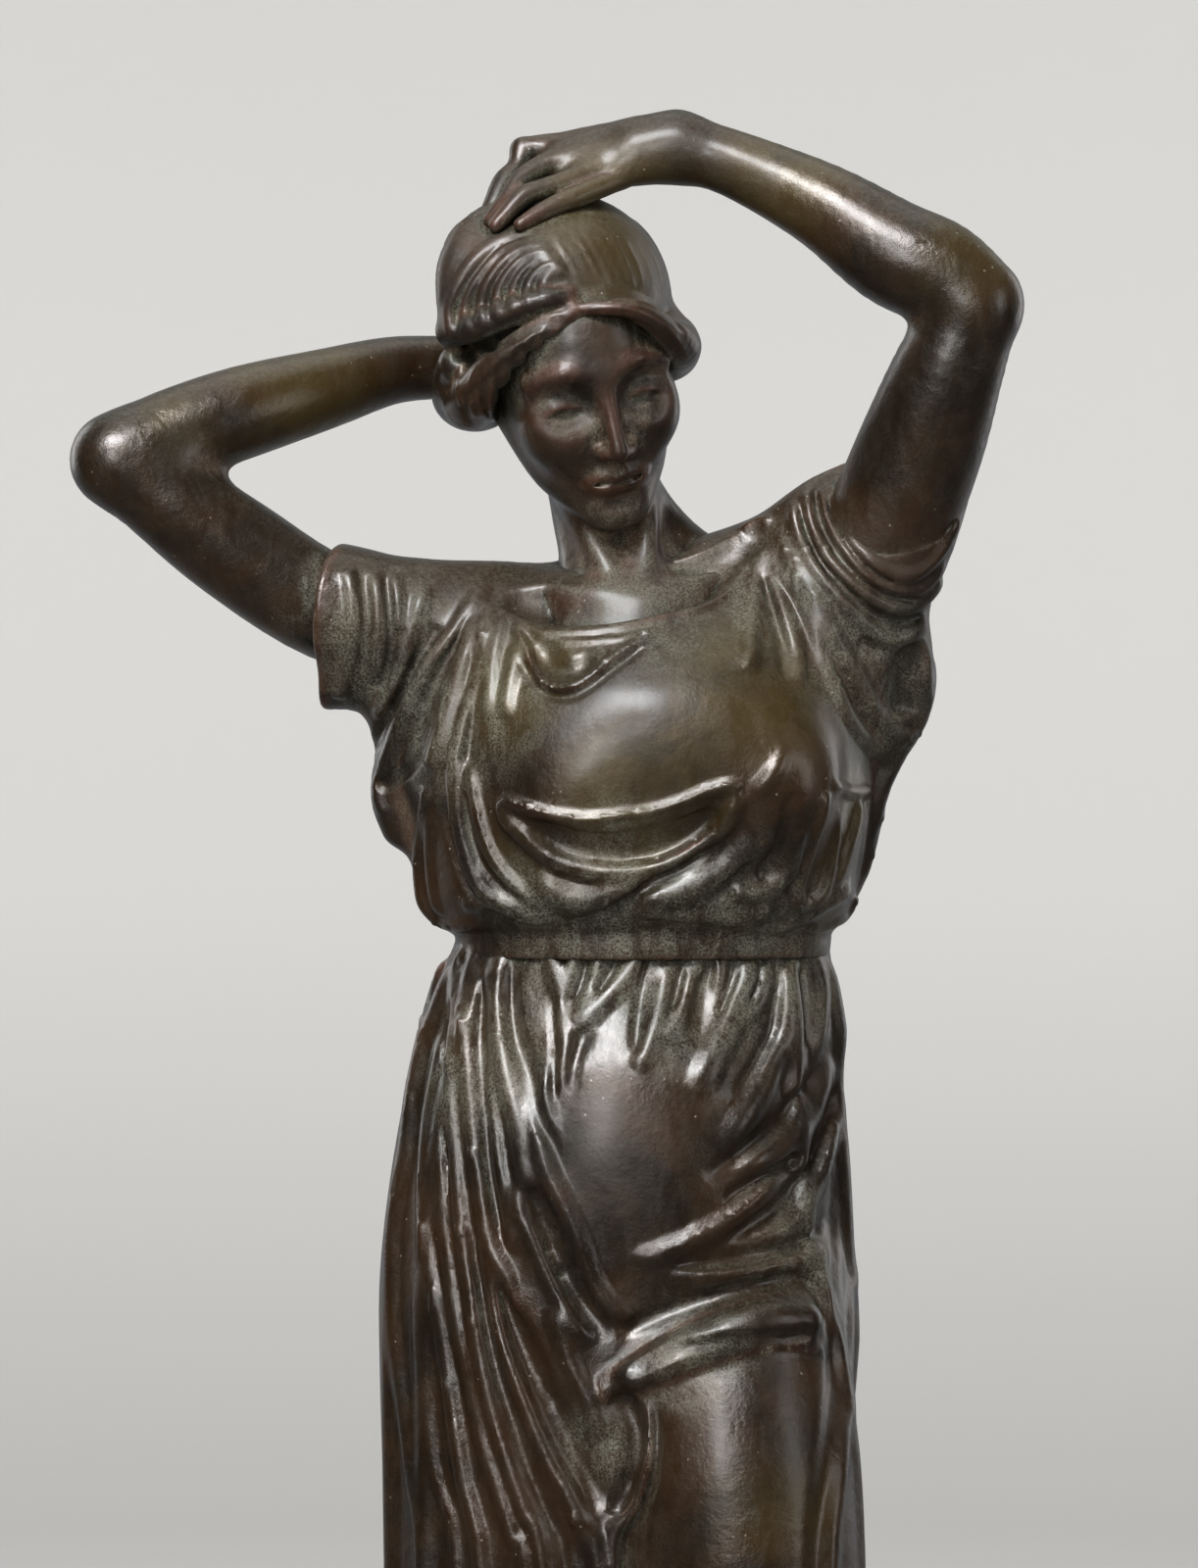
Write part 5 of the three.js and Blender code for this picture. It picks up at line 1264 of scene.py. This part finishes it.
def studio_paper():
    """Matt pale paper, darker at its foot and top as painted shade and glowing with painted light. From
    outside it is clear, so that it hides the figure from no side.
    """
    material = bpy.data.materials.new("studio_paper")
    n = Nodes(material)
    height = n.add("SeparateXYZ", {"Vector": n.place}).outputs["Z"]
    # Painted shade: the paper is darker towards its foot and a little darker at its top
    tone = n.mix(n.ramp(height, -0.1, 0.4), PAPER_SHADE, PAPER)
    tone = n.mix(n.ramp(height, 0.45, 0.95), tone, PAPER_TOP)
    paper = n.tree.nodes["Principled BSDF"]
    n.fill(paper, {
        "Base Color": tone,
        # Painted light: the paper glows in its own tone, as if more brightly lit
        "Emission Color": tone,
        "Emission Strength": PAPER_GLOW,
        "Roughness": 0.9,
        "Specular IOR Level": 0.1,
    })
    outside = n.add("NewGeometry").outputs["Backfacing"]
    clear = n.add("BsdfTransparent").outputs["BSDF"]
    one_sided = n.add("MixShader", {0: outside, 1: paper.outputs["BSDF"], 2: clear})
    n.fill(n.tree.nodes["Material Output"], {"Surface": one_sided.outputs["Shader"]})
    return material


def sweep():
    """A flat floor that curves up into a wall all round the figure."""
    bend = [[SWEEP_FLAT + SWEEP_BEND * sin(radians(a)), SWEEP_BEND * (1 - cos(radians(a)))]
            for a in range(0, 91, 6)]
    points, faces = lathe([[1.0, 0.0], *bend, [SWEEP_FLAT + SWEEP_BEND, SWEEP_HEIGHT]], SWEEP_SIDES)
    paper = mesh_object("sweep", points * MM, faces[:, ::-1])
    paper.data.shade_smooth()
    paper.data.materials.append(studio_paper())
    paper.visible_glossy = False


def softbox(name, place, size, power, colour):
    """A rectangular lamp that faces the figure, unseen by the camera."""
    data = bpy.data.lights.new(name, "AREA")
    data.shape = "RECTANGLE"
    data.size, data.size_y = size
    data.energy, data.color = power, colour
    lamp = bpy.data.objects.new(name, data)
    lamp.location = place
    lamp.rotation_euler = (Vector(LAMP_AIM) - Vector(place)).to_track_quat("-Z", "Y").to_euler()
    lamp.visible_camera = False
    bpy.context.scene.collection.objects.link(lamp)


def surroundings():
    """What the bronze mirrors: a pale wall behind, a pale table below and a dim room in front."""
    world = bpy.data.worlds.new("surroundings")
    n = Nodes(world, "Generated")
    way = n.add("SeparateXYZ", {"Vector": n.place})
    wall = n.ramp(way.outputs["Y"], 0.0, 0.8, ROOM, WALL)
    table = n.ramp(way.outputs["Z"], -0.7, -0.1, TABLE, ROOM)
    n.fill(n.tree.nodes["Background"], {"Color": DAYLIGHT, "Strength": n.most(wall, table)})
    bpy.context.scene.world = world


def studio():
    sweep()
    surroundings()
    for lamp in LAMPS:
        softbox(*lamp)
    bpy.context.scene.view_settings.view_transform = "Standard"
    bpy.context.scene.view_settings.look = "Medium High Contrast"


def camera():
    """Level with the chest, looking straight along +Y."""
    data = bpy.data.cameras.new("camera")
    data.lens, data.sensor_width = LENS, SENSOR
    data.clip_end = 20
    view = bpy.data.objects.new("camera", data)
    view.location = CAMERA_PLACE
    view.rotation_euler = (radians(90), 0, 0)
    bpy.context.scene.collection.objects.link(view)
    bpy.context.scene.camera = view


studio()
camera()
